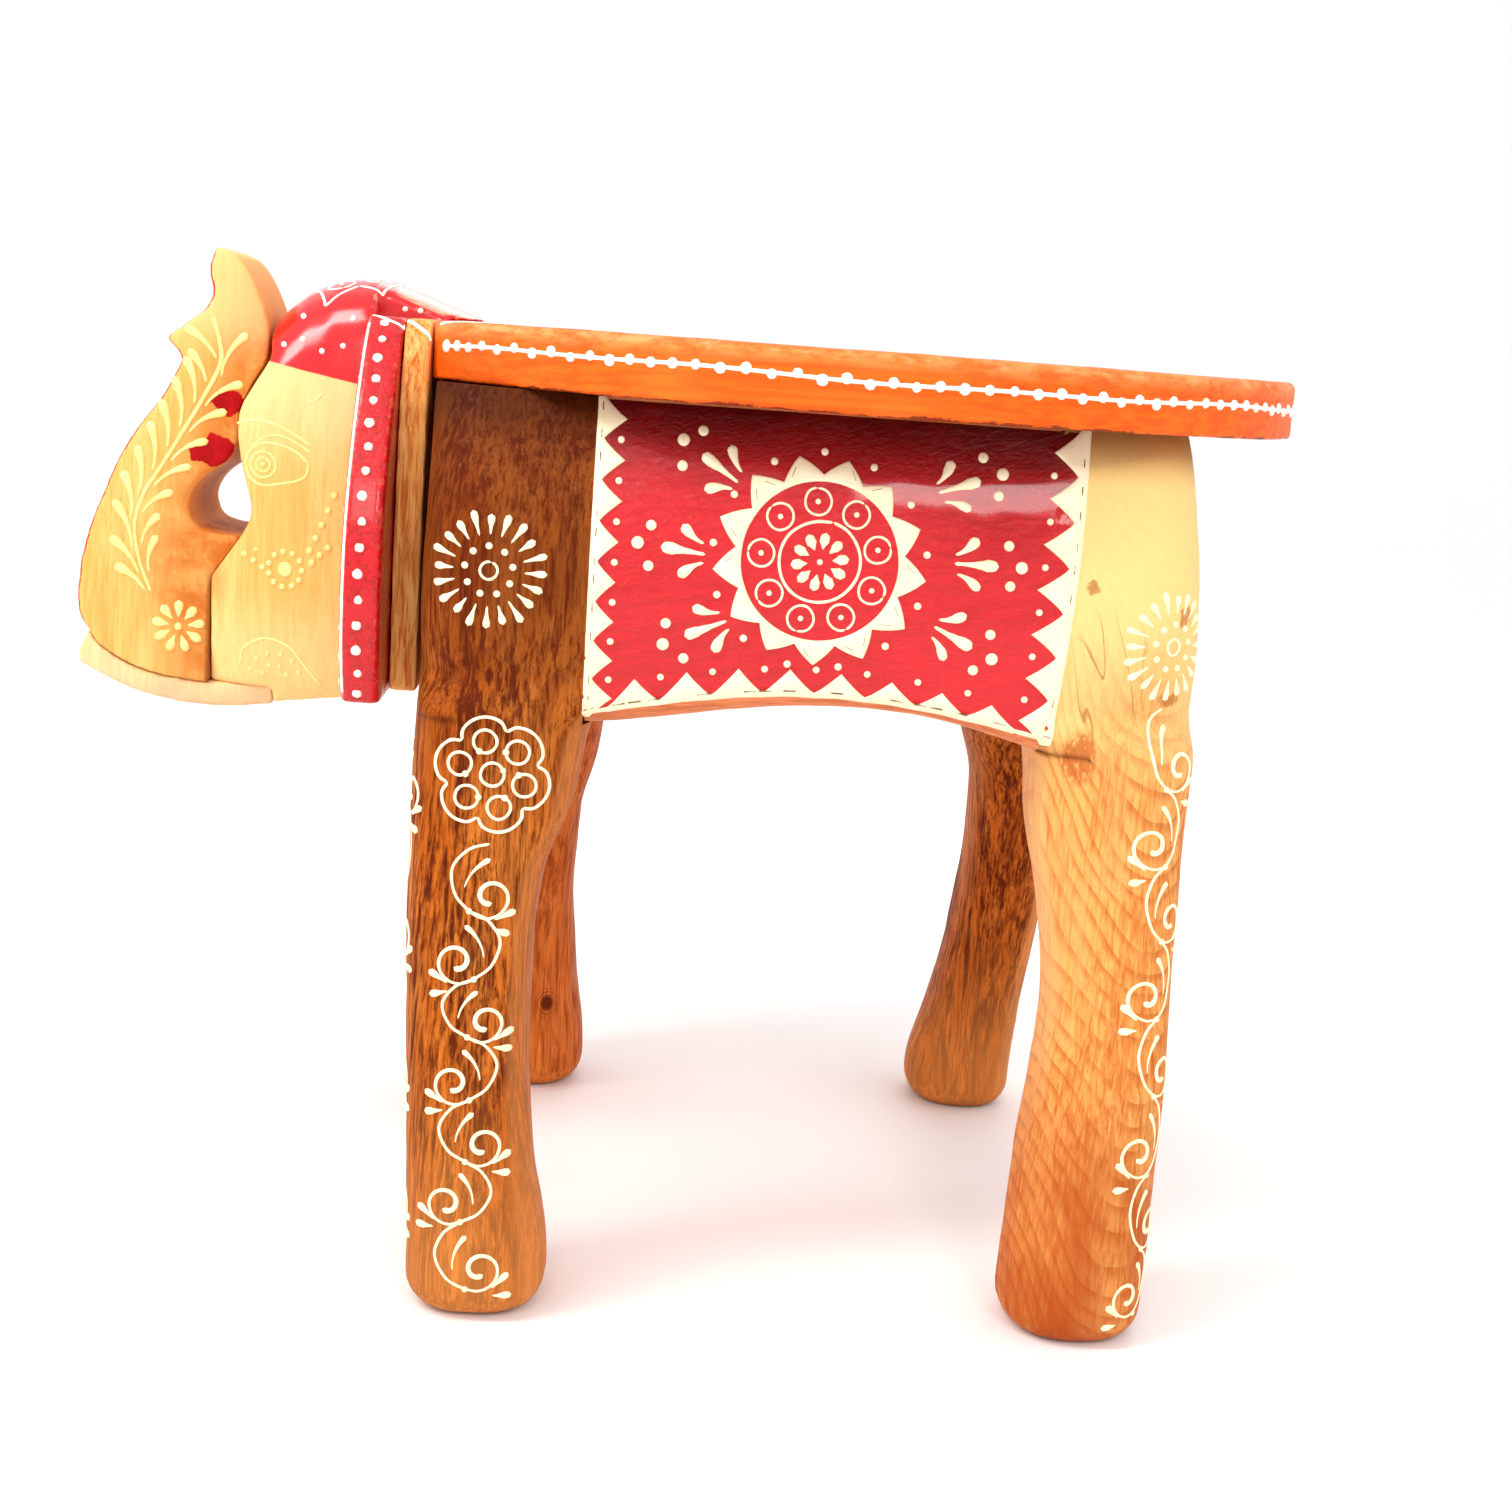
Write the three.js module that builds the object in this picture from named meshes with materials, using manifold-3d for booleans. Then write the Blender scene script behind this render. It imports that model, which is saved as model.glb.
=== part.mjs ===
// A hand-carved elephant stool: an oval seat board on an elephant's body, with legs, ears, head and trunk.
// Millimetres, +Z up. The elephant faces -X and its left side faces -Y. The floor is z = 0.
import * as THREE from 'three';
import { mergeVertices } from 'three/addons/utils/BufferGeometryUtils.js';
import Module from 'manifold-3d';

const wasm = await Module();
wasm.setup();

// ---- Driving dimensions ----

// Clearance between pieces that touch.
const GAP = 0.3;

// The seat is an oval board with a straight cut where it meets the neck.
const SEAT_TOP = 300;
const SEAT_THICKNESS = 18;
const SEAT_UNDERSIDE = SEAT_TOP - SEAT_THICKNESS;
const SEAT_CENTRE_X = 48.5;
const SEAT_HALF_LENGTH = 150;
const SEAT_HALF_WIDTH = 135.5;
const SEAT_FRONT_X = -85.7;
const SEAT_EDGE_ROUND = 1.8;

// The torso is one block: full width between the legs, with a narrower core between each pair of legs.
const BELLY_BOTTOM = 184;
const BELLY_ARCH = 10;
const BELLY_EDGE_ROUND = 9;
const TORSO_FRONT_X = -31.7;
const TORSO_REAR_X = 106.5;
const CORE_HALF_WIDTH = 40;
const CORE_REAR_X = 147;
const BODY_HALF_WIDTH = 113;
const BODY_WIDEST_Z = 225;
const BODY_CURVE = 0.0049;

// Each leg is carved by hand, so each has its own side outline: height, front edge and rear edge.
const FOOT_ROUND = 10;
const FOOT_ROUND_STEPS = 3;
const LEG_SQUARENESS = 2.5;
const SHOULDER_SQUARENESS = 4.5;
const LEG_OUTLINES = {
  leg_front_left: [
    [12, -77.5, -33.4], [46, -79, -39.4], [82, -80.5, -43], [110, -82, -43.5],
    [135, -83, -41.2], [160, -83.5, -33.5], [184, -83.5, -29],
  ],
  leg_front_right: [
    [12, -74.5, -29.4], [46, -74, -33.5], [82, -73.5, -36.5], [114, -75, -35.4],
    [141, -77.5, -29.6], [160, -80, -27.5], [184, -82, -26],
  ],
  leg_rear_left: [
    [12, 110, 155.5], [53, 112, 156.5], [80, 115.5, 156.5], [104, 117, 156.3],
    [136, 113.5, 156.5], [161, 108.5, 157], [184, 106.5, 157.8],
  ],
  leg_rear_right: [
    [12, 105, 147], [40, 111, 148.5], [75, 117, 151.5], [110, 119.5, 153.5],
    [136, 118.5, 155], [161, 112, 156.5], [184, 105, 157.8],
  ],
};
// How far the inner and outer faces of every leg stand from the middle plane, by height.
const LEG_INNER_FACE = [[0, 82], [50, 80], [110, 72], [160, 60], [184, 47]];
const LEG_OUTER_FACE = [[0, 128], [50, 125], [110, 118], [160, 113], [184, 112]];
// The top of a leg runs up beside the torso and ends under the seat.
const SHOULDER_HEIGHTS = [198, 212, 228, 244, 260, SEAT_UNDERSIDE - GAP];
const SHOULDER_FRONT_X = -83.5;
const RUMP_REAR_X = 158.3;
const RUMP_CURVE = 0.00075;
const SHOULDER_DEPTH = 92;

// Ears and neck: two boards glued face to face across the front of the torso.
const NECK_PLATE = { rear: SEAT_FRONT_X - GAP, thickness: 8.7 };
const EAR_BOARD = { rear: NECK_PLATE.rear - NECK_PLATE.thickness - GAP, thickness: 12.2 };
const EAR_FRONT_X = EAR_BOARD.rear - EAR_BOARD.thickness;
const NOTCH_HALF_WIDTH = 22.3;
const NOTCH_FLOOR = 284;

// Head, trunk and jaw share the glue joints below.
const TRUNK_JOINT_X = -158.5;
const TRUNK_JOINT_TOP = 212;
const HEAD_REBATE_REAR_X = -137.3;
const HEAD_REBATE_Z = 176.7;
const HEAD_HALF_WIDTH = 42;
const HEAD_SQUARENESS = 3.2;
const TRUNK_HALF_WIDTH = 29;
const TRUNK_TAPER = { fromZ: 195, toZ: 318, tipShare: 0.72 };
const JAW_HALF_WIDTH = 27.5;
// The mouth line, from the lip back to the joint: the trunk's underside and, one gap lower, the jaw's top.
const MOUTH_LINE = [[-198, 192.2], [-194.3, 187], [-185, 181.4], [-173, 178]];

// Dowels are glued into blind holes. Each kind has a radius, places and how far it reaches on each side.
const LEG_DOWEL = { radius: 5, heights: { lower: 205, upper: 240 }, inCore: 20, inLeg: 22 };
const SEAT_DOWEL = { radius: 5, y: 72, inLeg: 24, inSeat: 11 };
const HEAD_DOWEL = { radius: 6, heights: { lower: 205, upper: 250 }, tipX: -132, endX: -60 };
const TRUNK_DOWEL = { radius: 4, height: 196, places: { left: -12, right: 12 }, reach: 17 };
const FRONT_LEG_X = -57;
const REAR_LEG_X = 127;
const LEG_PLACES = {
  leg_front_left: [FRONT_LEG_X, -1],
  leg_front_right: [FRONT_LEG_X, 1],
  leg_rear_left: [REAR_LEG_X, -1],
  leg_rear_right: [REAR_LEG_X, 1],
};

// The jaw is nailed up into the trunk and the head, with the nail heads just inside its underside.
const NAIL = { radius: 1.3, headRadius: 3, headDepth: 1.8, pointLength: 4 };
const NAIL_PLACES = [
  { name: 'jaw_nail_front', x: -188, headZ: 174.6, tipZ: 198, inside: ['lower_jaw', 'trunk'] },
  { name: 'jaw_nail_rear', x: -148, headZ: 170.2, tipZ: 188, inside: ['lower_jaw', 'head_block'] },
];

// ---- Shape helpers ----

const vectors = (pairs) => pairs.map(([a, b]) => new THREE.Vector2(a, b));

// The value at a height in a list of [height, value], straight between entries.
function valueAt(list, height) {
  const next = Math.max(1, list.findIndex(([entry]) => entry >= height));
  const [lowHeight, lowValue] = list[next - 1];
  const [highHeight, highValue] = list[next];
  return THREE.MathUtils.mapLinear(height, lowHeight, highHeight, lowValue, highValue);
}

// Half the width of the body at a height: a barrel, widest at BODY_WIDEST_Z.
const bodyHalfWidth = (height) => BODY_HALF_WIDTH - BODY_CURVE * (height - BODY_WIDEST_Z) ** 2;

// A closed solid through level sections, each [height, xLow, xHigh, yLow, yHigh].
// squarenessAt(height) is 2 where the section is an ellipse, and larger where it is boxier.
function loft(sections, sides, squarenessAt) {
  const steps = sections.length - 1;
  const geometry = new THREE.CylinderGeometry(1, 1, 1, sides, steps);
  const position = geometry.attributes.position;
  const boxy = (part, squareness) => Math.sign(part) * Math.abs(part) ** (2 / squareness);
  for (let i = 0; i < position.count; i += 1) {
    const level = Math.round((position.getY(i) + 0.5) * steps);
    const [height, xLow, xHigh, yLow, yHigh] = sections[level];
    const squareness = squarenessAt(height);
    const x = (xLow + xHigh) / 2 + boxy(position.getX(i), squareness) * (xHigh - xLow) / 2;
    const y = (yLow + yHigh) / 2 - boxy(position.getZ(i), squareness) * (yHigh - yLow) / 2;
    position.setXYZ(i, x, y, height);
  }
  return geometry;
}

function extrude(shape, thickness, edgeRound) {
  const geometry = new THREE.ExtrudeGeometry(shape, {
    depth: thickness - 2 * edgeRound,
    bevelEnabled: edgeRound > 0,
    bevelThickness: edgeRound,
    bevelSize: edgeRound,
    bevelOffset: -edgeRound,
    bevelSegments: 1,
    curveSegments: 5,
  });
  geometry.translate(0, 0, edgeRound);
  return geometry;
}

// A board drawn in side view (x, z), centred on the middle plane.
function boardAcross(shape, halfWidth, edgeRound = 0) {
  const geometry = extrude(shape, 2 * halfWidth, edgeRound);
  geometry.rotateX(Math.PI / 2);
  geometry.translate(0, halfWidth, 0);
  return geometry;
}

// A board drawn in front view (y, z), from its front face at frontX.
function boardAlong(shape, frontX, thickness, edgeRound = 0) {
  const geometry = extrude(shape, thickness, edgeRound);
  geometry.rotateX(Math.PI / 2);
  geometry.rotateZ(Math.PI / 2);
  geometry.translate(frontX, 0, 0);
  return geometry;
}

function block(low, high) {
  const size = high.map((end, axis) => end - low[axis]);
  const geometry = new THREE.BoxGeometry(...size);
  geometry.translate(...low.map((start, axis) => start + size[axis] / 2));
  return geometry;
}

// A round peg between two points.
function peg(start, end, radius, sides = 16) {
  const from = new THREE.Vector3(...start);
  const along = new THREE.Vector3(...end).sub(from);
  const direction = along.clone().normalize();
  const geometry = new THREE.CylinderGeometry(radius, radius, along.length(), sides);
  geometry.applyQuaternion(new THREE.Quaternion().setFromUnitVectors(new THREE.Vector3(0, 1, 0), direction));
  geometry.translate(...from.addScaledVector(along, 0.5));
  return geometry;
}

// The same peg with a gap all round it: the hole it sits in.
function pegHole(start, end, radius) {
  const from = new THREE.Vector3(...start);
  const to = new THREE.Vector3(...end);
  const reach = to.clone().sub(from).setLength(GAP);
  return peg(from.sub(reach), to.add(reach), radius + GAP);
}

// ---- Solids for cutting and joining ----

function solidOf(geometry) {
  const bare = geometry.clone();
  bare.deleteAttribute('normal');
  bare.deleteAttribute('uv');
  const merged = mergeVertices(bare, 1e-4);
  const vertProperties = Float32Array.from(merged.attributes.position.array);
  const triVerts = Uint32Array.from(merged.index.array);
  return new wasm.Manifold(new wasm.Mesh({ numProp: 3, vertProperties, triVerts }));
}

function geometryOf(solid) {
  const { vertProperties, triVerts } = solid.getMesh();
  const geometry = new THREE.BufferGeometry();
  geometry.setAttribute('position', new THREE.BufferAttribute(Float32Array.from(vertProperties), 3));
  geometry.setIndex(new THREE.BufferAttribute(Uint32Array.from(triVerts), 1));
  geometry.computeVertexNormals();
  return geometry;
}

// ---- Seat, torso and legs ----

function seatBoard() {
  const points = [];
  const cutAngle = Math.acos((SEAT_FRONT_X - SEAT_CENTRE_X) / SEAT_HALF_LENGTH);
  const ovalSteps = 72;
  for (let i = 0; i <= ovalSteps; i += 1) {
    const angle = THREE.MathUtils.lerp(-cutAngle, cutAngle, i / ovalSteps);
    points.push([SEAT_CENTRE_X + SEAT_HALF_LENGTH * Math.cos(angle), SEAT_HALF_WIDTH * Math.sin(angle)]);
  }
  const geometry = extrude(new THREE.Shape(vectors(points)), SEAT_THICKNESS, SEAT_EDGE_ROUND);
  geometry.translate(0, 0, SEAT_UNDERSIDE);
  return solidOf(geometry);
}

function torsoBlock() {
  const top = SEAT_UNDERSIDE - GAP;
  const section = new THREE.Shape();
  const sideSteps = 10;
  const side = [[BODY_HALF_WIDTH - 2 * BELLY_EDGE_ROUND, BELLY_BOTTOM]];
  for (let i = 0; i <= sideSteps; i += 1) {
    const height = THREE.MathUtils.lerp(BELLY_BOTTOM + BELLY_EDGE_ROUND, top, i / sideSteps);
    side.push([bodyHalfWidth(height), height]);
  }
  const otherSide = side.map(([y, z]) => [-y, z]).reverse();
  section.setFromPoints(vectors([...side, ...otherSide]));
  const middle = boardAlong(section, TORSO_FRONT_X, TORSO_REAR_X - TORSO_FRONT_X);
  const core = block(
    [SEAT_FRONT_X, -CORE_HALF_WIDTH, BELLY_BOTTOM],
    [CORE_REAR_X, CORE_HALF_WIDTH, top],
  );
  return solidOf(middle).add(solidOf(core)).subtract(bellyArch());
}

// The space under the arched belly: a low arc between the front and rear legs.
function bellyArch() {
  const arcSteps = 12;
  const points = [[TORSO_REAR_X, BELLY_BOTTOM - 1], [TORSO_FRONT_X, BELLY_BOTTOM - 1]];
  for (let i = 0; i <= arcSteps; i += 1) {
    const x = THREE.MathUtils.lerp(TORSO_FRONT_X, TORSO_REAR_X, i / arcSteps);
    const rise = BELLY_ARCH * Math.sin(Math.PI * i / arcSteps);
    points.push([x, BELLY_BOTTOM - 0.5 + rise]);
  }
  return solidOf(boardAcross(new THREE.Shape(vectors(points)), SEAT_HALF_WIDTH));
}

// A leg on the elephant's left side, as sections from the floor to the seat.
// Beside the torso a section carries on past the joints, so that the leg can be cut off flush at them.
function legSections(name, isFront) {
  const outline = LEG_OUTLINES[name];
  const across = (height, inset) => [
    inset - valueAt(LEG_OUTER_FACE, height),
    -inset - valueAt(LEG_INNER_FACE, height),
  ];
  const sections = [];
  const [, footFront, footRear] = outline[0];
  for (let i = 0; i < FOOT_ROUND_STEPS; i += 1) {
    const angle = (Math.PI / 2) * (i / FOOT_ROUND_STEPS);
    const height = FOOT_ROUND * (1 - Math.cos(angle));
    const inset = FOOT_ROUND * (1 - Math.sin(angle));
    sections.push([height, footFront + inset, footRear - inset, ...across(height, inset)]);
  }
  outline.forEach(([height, front, rear]) => {
    sections.push([height, front, rear, ...across(height, 0)]);
  });
  SHOULDER_HEIGHTS.forEach((height) => {
    const outer = bodyHalfWidth(height);
    const rump = RUMP_REAR_X - RUMP_CURVE * (height - BELLY_BOTTOM) ** 2;
    const edges = isFront
      ? [SHOULDER_FRONT_X, 2 * TORSO_FRONT_X - SHOULDER_FRONT_X]
      : [2 * TORSO_REAR_X - rump, rump];
    sections.push([height, ...edges, -outer, SHOULDER_DEPTH - outer]);
  });
  return sections;
}

// The space that the torso fills beside a leg, one gap larger than the torso.
function torsoSpace(isFront) {
  const bottom = BELLY_BOTTOM - GAP;
  const [low, high] = isFront
    ? [TORSO_FRONT_X - GAP, TORSO_REAR_X]
    : [TORSO_FRONT_X, TORSO_REAR_X + GAP];
  const middle = block([low, -SEAT_HALF_WIDTH, bottom], [high, SEAT_HALF_WIDTH, SEAT_TOP]);
  const coreEdge = CORE_HALF_WIDTH + GAP;
  const core = block([-SEAT_HALF_LENGTH, -coreEdge, bottom], [2 * SEAT_HALF_LENGTH, coreEdge, SEAT_TOP]);
  return solidOf(middle).add(solidOf(core));
}

function leg(name) {
  const isFront = name.includes('front');
  let sections = legSections(name, isFront);
  if (name.endsWith('right')) {
    sections = sections.map(([height, front, rear, low, high]) => [height, front, rear, -high, -low]);
  }
  const squarenessAt = (height) => (height > BELLY_BOTTOM ? SHOULDER_SQUARENESS : LEG_SQUARENESS);
  return solidOf(loft(sections, 24, squarenessAt)).subtract(torsoSpace(isFront));
}

// ---- Ears, head, trunk and jaw ----

// A front view outline from its left half, with the notch for the head's crest at the top.
function notchedOutline(halfOutline) {
  const outline = new THREE.Shape();
  const mirrored = halfOutline.map(([y, z]) => [-y, z]).reverse();
  outline.moveTo(NOTCH_HALF_WIDTH, NOTCH_FLOOR);
  outline.lineTo(NOTCH_HALF_WIDTH, SEAT_TOP);
  outline.lineTo(...halfOutline[0]);
  outline.splineThru(vectors(halfOutline.slice(1)));
  outline.lineTo(...mirrored[0]);
  outline.splineThru(vectors(mirrored.slice(1)));
  outline.lineTo(-NOTCH_HALF_WIDTH, SEAT_TOP);
  outline.lineTo(-NOTCH_HALF_WIDTH, NOTCH_FLOOR);
  return outline;
}

function earBoard() {
  const earSide = [[54, 300], [66, 290], [82, 268], [94, 242], [97, 220], [94, 198], [86, 182.5]];
  return solidOf(boardAlong(notchedOutline(earSide), EAR_FRONT_X, EAR_BOARD.thickness, 1));
}

function neckPlate() {
  const plateSide = [[58, 300], [65, 288], [69, 260], [70, 225], [67, 184]];
  const frontX = NECK_PLATE.rear - NECK_PLATE.thickness;
  return solidOf(boardAlong(notchedOutline(plateSide), frontX, NECK_PLATE.thickness));
}

function headBlock() {
  const rearX = EAR_FRONT_X - GAP;
  const profile = new THREE.Shape();
  profile.moveTo(TRUNK_JOINT_X + GAP / 2, HEAD_REBATE_Z);
  profile.lineTo(TRUNK_JOINT_X + GAP / 2, TRUNK_JOINT_TOP);
  profile.lineTo(-148.8, 226);
  profile.splineThru(vectors([[-145.3, 234], [-147.8, 245], [-150.6, 256], [-150.6, 267], [-146.6, 275]]));
  profile.lineTo(-141.2, 284.5);
  profile.splineThru(vectors([[-141.5, 296], [-131, 307.4], [-120, 312], [rearX, 314]]));
  profile.lineTo(rearX, 175.3);
  profile.lineTo(HEAD_REBATE_REAR_X, 171.2);
  profile.lineTo(HEAD_REBATE_REAR_X, HEAD_REBATE_Z);

  // The crest runs back through the notches and laps over the front of the seat.
  const crest = new THREE.Shape();
  crest.moveTo(rearX - 8, NOTCH_FLOOR + GAP);
  crest.lineTo(rearX - 8, 314);
  crest.lineTo(-103, 311);
  crest.lineTo(-74, 301.2);
  crest.lineTo(-74, SEAT_TOP + GAP);
  crest.lineTo(NECK_PLATE.rear, SEAT_TOP + GAP);
  crest.lineTo(NECK_PLATE.rear, NOTCH_FLOOR + GAP);

  const solid = solidOf(boardAcross(profile, HEAD_HALF_WIDTH))
    .add(solidOf(boardAcross(crest, NOTCH_HALF_WIDTH - GAP)));
  return solid.intersect(headEnvelope());
}

// The head's domed cross-section, which narrows towards the trunk: position along X, top and half-width.
function headEnvelope() {
  const bottom = 160;
  const stations = [
    [-166, 292, 26], [-158, 293, 29.5], [-150, 294, 33], [-142, 296.5, 35.5],
    [-137, 302, 36.5], [-131, 307, 37.5], [-122, 311, 39], [-109, 312.4, 40],
    [-103, 311, 38.5], [-88, 306, 36.5], [-72, 300.6, 34],
  ];
  const sections = stations.map(([x, top, half]) => [x, -top, -bottom, -half, half]);
  const geometry = loft(sections, 40, () => HEAD_SQUARENESS);
  geometry.rotateY(Math.PI / 2);
  return solidOf(geometry);
}

// The trunk gets thinner from the mouth up to its tip.
function trunkTaper(height) {
  const climb = THREE.MathUtils.mapLinear(height, TRUNK_TAPER.fromZ, TRUNK_TAPER.toZ, 0, 1);
  return THREE.MathUtils.lerp(1, TRUNK_TAPER.tipShare, THREE.MathUtils.clamp(climb, 0, 1));
}

// The raised trunk, with its tip open at the top.
function trunk() {
  const profile = new THREE.Shape();
  profile.moveTo(-160.9, 318.4);
  profile.splineThru(vectors([[-163, 311], [-161.6, 304], [-164, 298]]));
  profile.lineTo(-176.4, 288.3);
  profile.lineTo(-170.6, 282);
  profile.splineThru(vectors([
    [-177, 269.3], [-187.6, 253.6], [-195.4, 235.6], [-200.2, 219.8], [-202, 205.7], [-201.3, 197],
    MOUTH_LINE[0],
  ]));
  profile.splineThru(vectors([...MOUTH_LINE.slice(1), [TRUNK_JOINT_X - GAP / 2, HEAD_REBATE_Z]]));
  profile.lineTo(TRUNK_JOINT_X - GAP / 2, TRUNK_JOINT_TOP);
  profile.lineTo(-150, 225.4);
  profile.lineTo(-158, 226);
  profile.splineThru(vectors([
    [-165, 228.5], [-167, 236], [-163, 243.5], [-155, 250], [-152, 257], [-151.6, 266],
    [-148.2, 275], [-143.6, 284], [-143.6, 296.5], [-148.3, 308.5], [-153.5, 315.4], [-160.9, 318.4],
  ]));
  const geometry = boardAcross(profile, TRUNK_HALF_WIDTH);
  const position = geometry.attributes.position;
  for (let i = 0; i < position.count; i += 1) {
    position.setY(i, position.getY(i) * trunkTaper(position.getZ(i)));
  }
  return solidOf(geometry);
}

function lowerJaw() {
  const jointX = HEAD_REBATE_REAR_X - GAP;
  const topLine = MOUTH_LINE.map(([x, z]) => [x - GAP, z - GAP]).reverse();
  const profile = new THREE.Shape();
  profile.moveTo(jointX, HEAD_REBATE_Z - GAP);
  profile.lineTo(TRUNK_JOINT_X, HEAD_REBATE_Z - GAP);
  profile.splineThru(vectors(topLine));
  profile.lineTo(-201.6, 184.4);
  profile.splineThru(vectors([
    [-201.6, 182], [-199.8, 179.6], [-187.6, 173.6], [-174, 170], [-156, 168.5], [jointX, 170.6],
  ]));
  return solidOf(boardAcross(profile, JAW_HALF_WIDTH));
}

// ---- Fasteners ----

// Every dowel: its name, ends and radius, and the pieces it is glued into.
function dowelList() {
  const legDowels = Object.entries(LEG_PLACES).flatMap(([legName, [x, side]]) => (
    Object.entries(LEG_DOWEL.heights).map(([level, z]) => ({
      name: `${legName.replace('leg', 'leg_dowel')}_${level}`,
      start: [x, side * (CORE_HALF_WIDTH - LEG_DOWEL.inCore), z],
      end: [x, side * (CORE_HALF_WIDTH + LEG_DOWEL.inLeg), z],
      radius: LEG_DOWEL.radius,
      inside: ['torso_block', legName],
    }))
  ));
  const seatDowels = Object.entries(LEG_PLACES).map(([legName, [x, side]]) => ({
    name: legName.replace('leg', 'seat_dowel'),
    start: [x, side * SEAT_DOWEL.y, SEAT_UNDERSIDE - SEAT_DOWEL.inLeg],
    end: [x, side * SEAT_DOWEL.y, SEAT_UNDERSIDE + SEAT_DOWEL.inSeat],
    radius: SEAT_DOWEL.radius,
    inside: [legName, 'seat_board'],
  }));
  const headDowels = Object.entries(HEAD_DOWEL.heights).map(([level, z]) => ({
    name: `head_dowel_${level}`,
    start: [HEAD_DOWEL.tipX, 0, z],
    end: [HEAD_DOWEL.endX, 0, z],
    radius: HEAD_DOWEL.radius,
    inside: ['head_block', 'ear_board', 'neck_plate', 'torso_block'],
  }));
  const trunkDowels = Object.entries(TRUNK_DOWEL.places).map(([place, y]) => ({
    name: `trunk_dowel_${place}`,
    start: [TRUNK_JOINT_X - TRUNK_DOWEL.reach, y, TRUNK_DOWEL.height],
    end: [TRUNK_JOINT_X + TRUNK_DOWEL.reach, y, TRUNK_DOWEL.height],
    radius: TRUNK_DOWEL.radius,
    inside: ['trunk', 'head_block'],
  }));
  return [...legDowels, ...seatDowels, ...headDowels, ...trunkDowels];
}

function nail({ x, headZ, tipZ }) {
  const length = tipZ - headZ;
  const profile = vectors([
    [0, 0],
    [NAIL.headRadius, 0],
    [NAIL.headRadius, NAIL.headDepth / 2],
    [NAIL.radius, NAIL.headDepth],
    [NAIL.radius, length - NAIL.pointLength],
    [0, length],
  ]);
  const geometry = new THREE.LatheGeometry(profile, 16);
  geometry.rotateX(Math.PI / 2);
  geometry.translate(x, 0, headZ);
  return geometry;
}

// The nail's hole, with a sinking for the head that is open at the jaw's underside.
function nailHole({ x, headZ, tipZ }) {
  const openBelow = headZ - NAIL.headDepth;
  const shank = peg([x, 0, openBelow], [x, 0, tipZ + GAP], NAIL.radius + GAP);
  const sinking = peg([x, 0, openBelow], [x, 0, headZ + NAIL.headDepth + GAP], NAIL.headRadius + GAP);
  return solidOf(shank).add(solidOf(sinking));
}

// ---- Assembly ----

const COLOURS = {
  seat_board: 0xf0742c,
  torso_block: 0xcc2233,
  leg_front_left: 0x8f5226,
  leg_front_right: 0xb4682f,
  leg_rear_left: 0xeeb062,
  leg_rear_right: 0x7d4720,
  ear_board: 0xc8212e,
  neck_plate: 0xdf9a5a,
  head_block: 0xfbdc8a,
  trunk: 0xf6cb78,
  lower_jaw: 0xfae6b0,
};
const DOWEL_COLOUR = 0xd9b27c;
const STEEL_COLOUR = 0xb0b4b8;

function namedMesh(name, geometry, color, roughness = 0.5, metalness = 0) {
  const mesh = new THREE.Mesh(geometry, new THREE.MeshStandardMaterial({ color, roughness, metalness }));
  mesh.name = name;
  return mesh;
}

// The pieces of wood, before any hole is drilled.
function woodPieces() {
  const pieces = {
    seat_board: seatBoard(),
    torso_block: torsoBlock(),
    ear_board: earBoard(),
    neck_plate: neckPlate(),
    head_block: headBlock(),
    trunk: trunk(),
    lower_jaw: lowerJaw(),
  };
  Object.keys(LEG_OUTLINES).forEach((name) => {
    pieces[name] = leg(name);
  });
  return pieces;
}

function elephantStool() {
  const group = new THREE.Group();
  const pieces = woodPieces();
  const drill = (names, hole) => names.forEach((name) => {
    pieces[name] = pieces[name].subtract(hole);
  });
  dowelList().forEach(({ name, start, end, radius, inside }) => {
    drill(inside, solidOf(pegHole(start, end, radius)));
    group.add(namedMesh(name, peg(start, end, radius), DOWEL_COLOUR, 0.8));
  });
  NAIL_PLACES.forEach((place) => {
    drill(place.inside, nailHole(place));
    group.add(namedMesh(place.name, nail(place), STEEL_COLOUR, 0.35, 1));
  });
  Object.entries(pieces).forEach(([name, solid]) => {
    group.add(namedMesh(name, geometryOf(solid), COLOURS[name]));
  });

  // The origin is the middle of the elephant's footprint, on the floor.
  const extent = new THREE.Box3().setFromObject(group);
  group.position.x = -(extent.min.x + extent.max.x) / 2;
  return group;
}

export default elephantStool();
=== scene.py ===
# Looks of a hand-carved and hand-painted elephant stool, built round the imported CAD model.
# Lengths are in millimetres in the frame of the CAD model, and at() turns them into metres.
import math
import random

import bmesh
import bpy
import numpy as np
from mathutils import Matrix, Vector, noise
from mathutils.bvhtree import BVHTree


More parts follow.
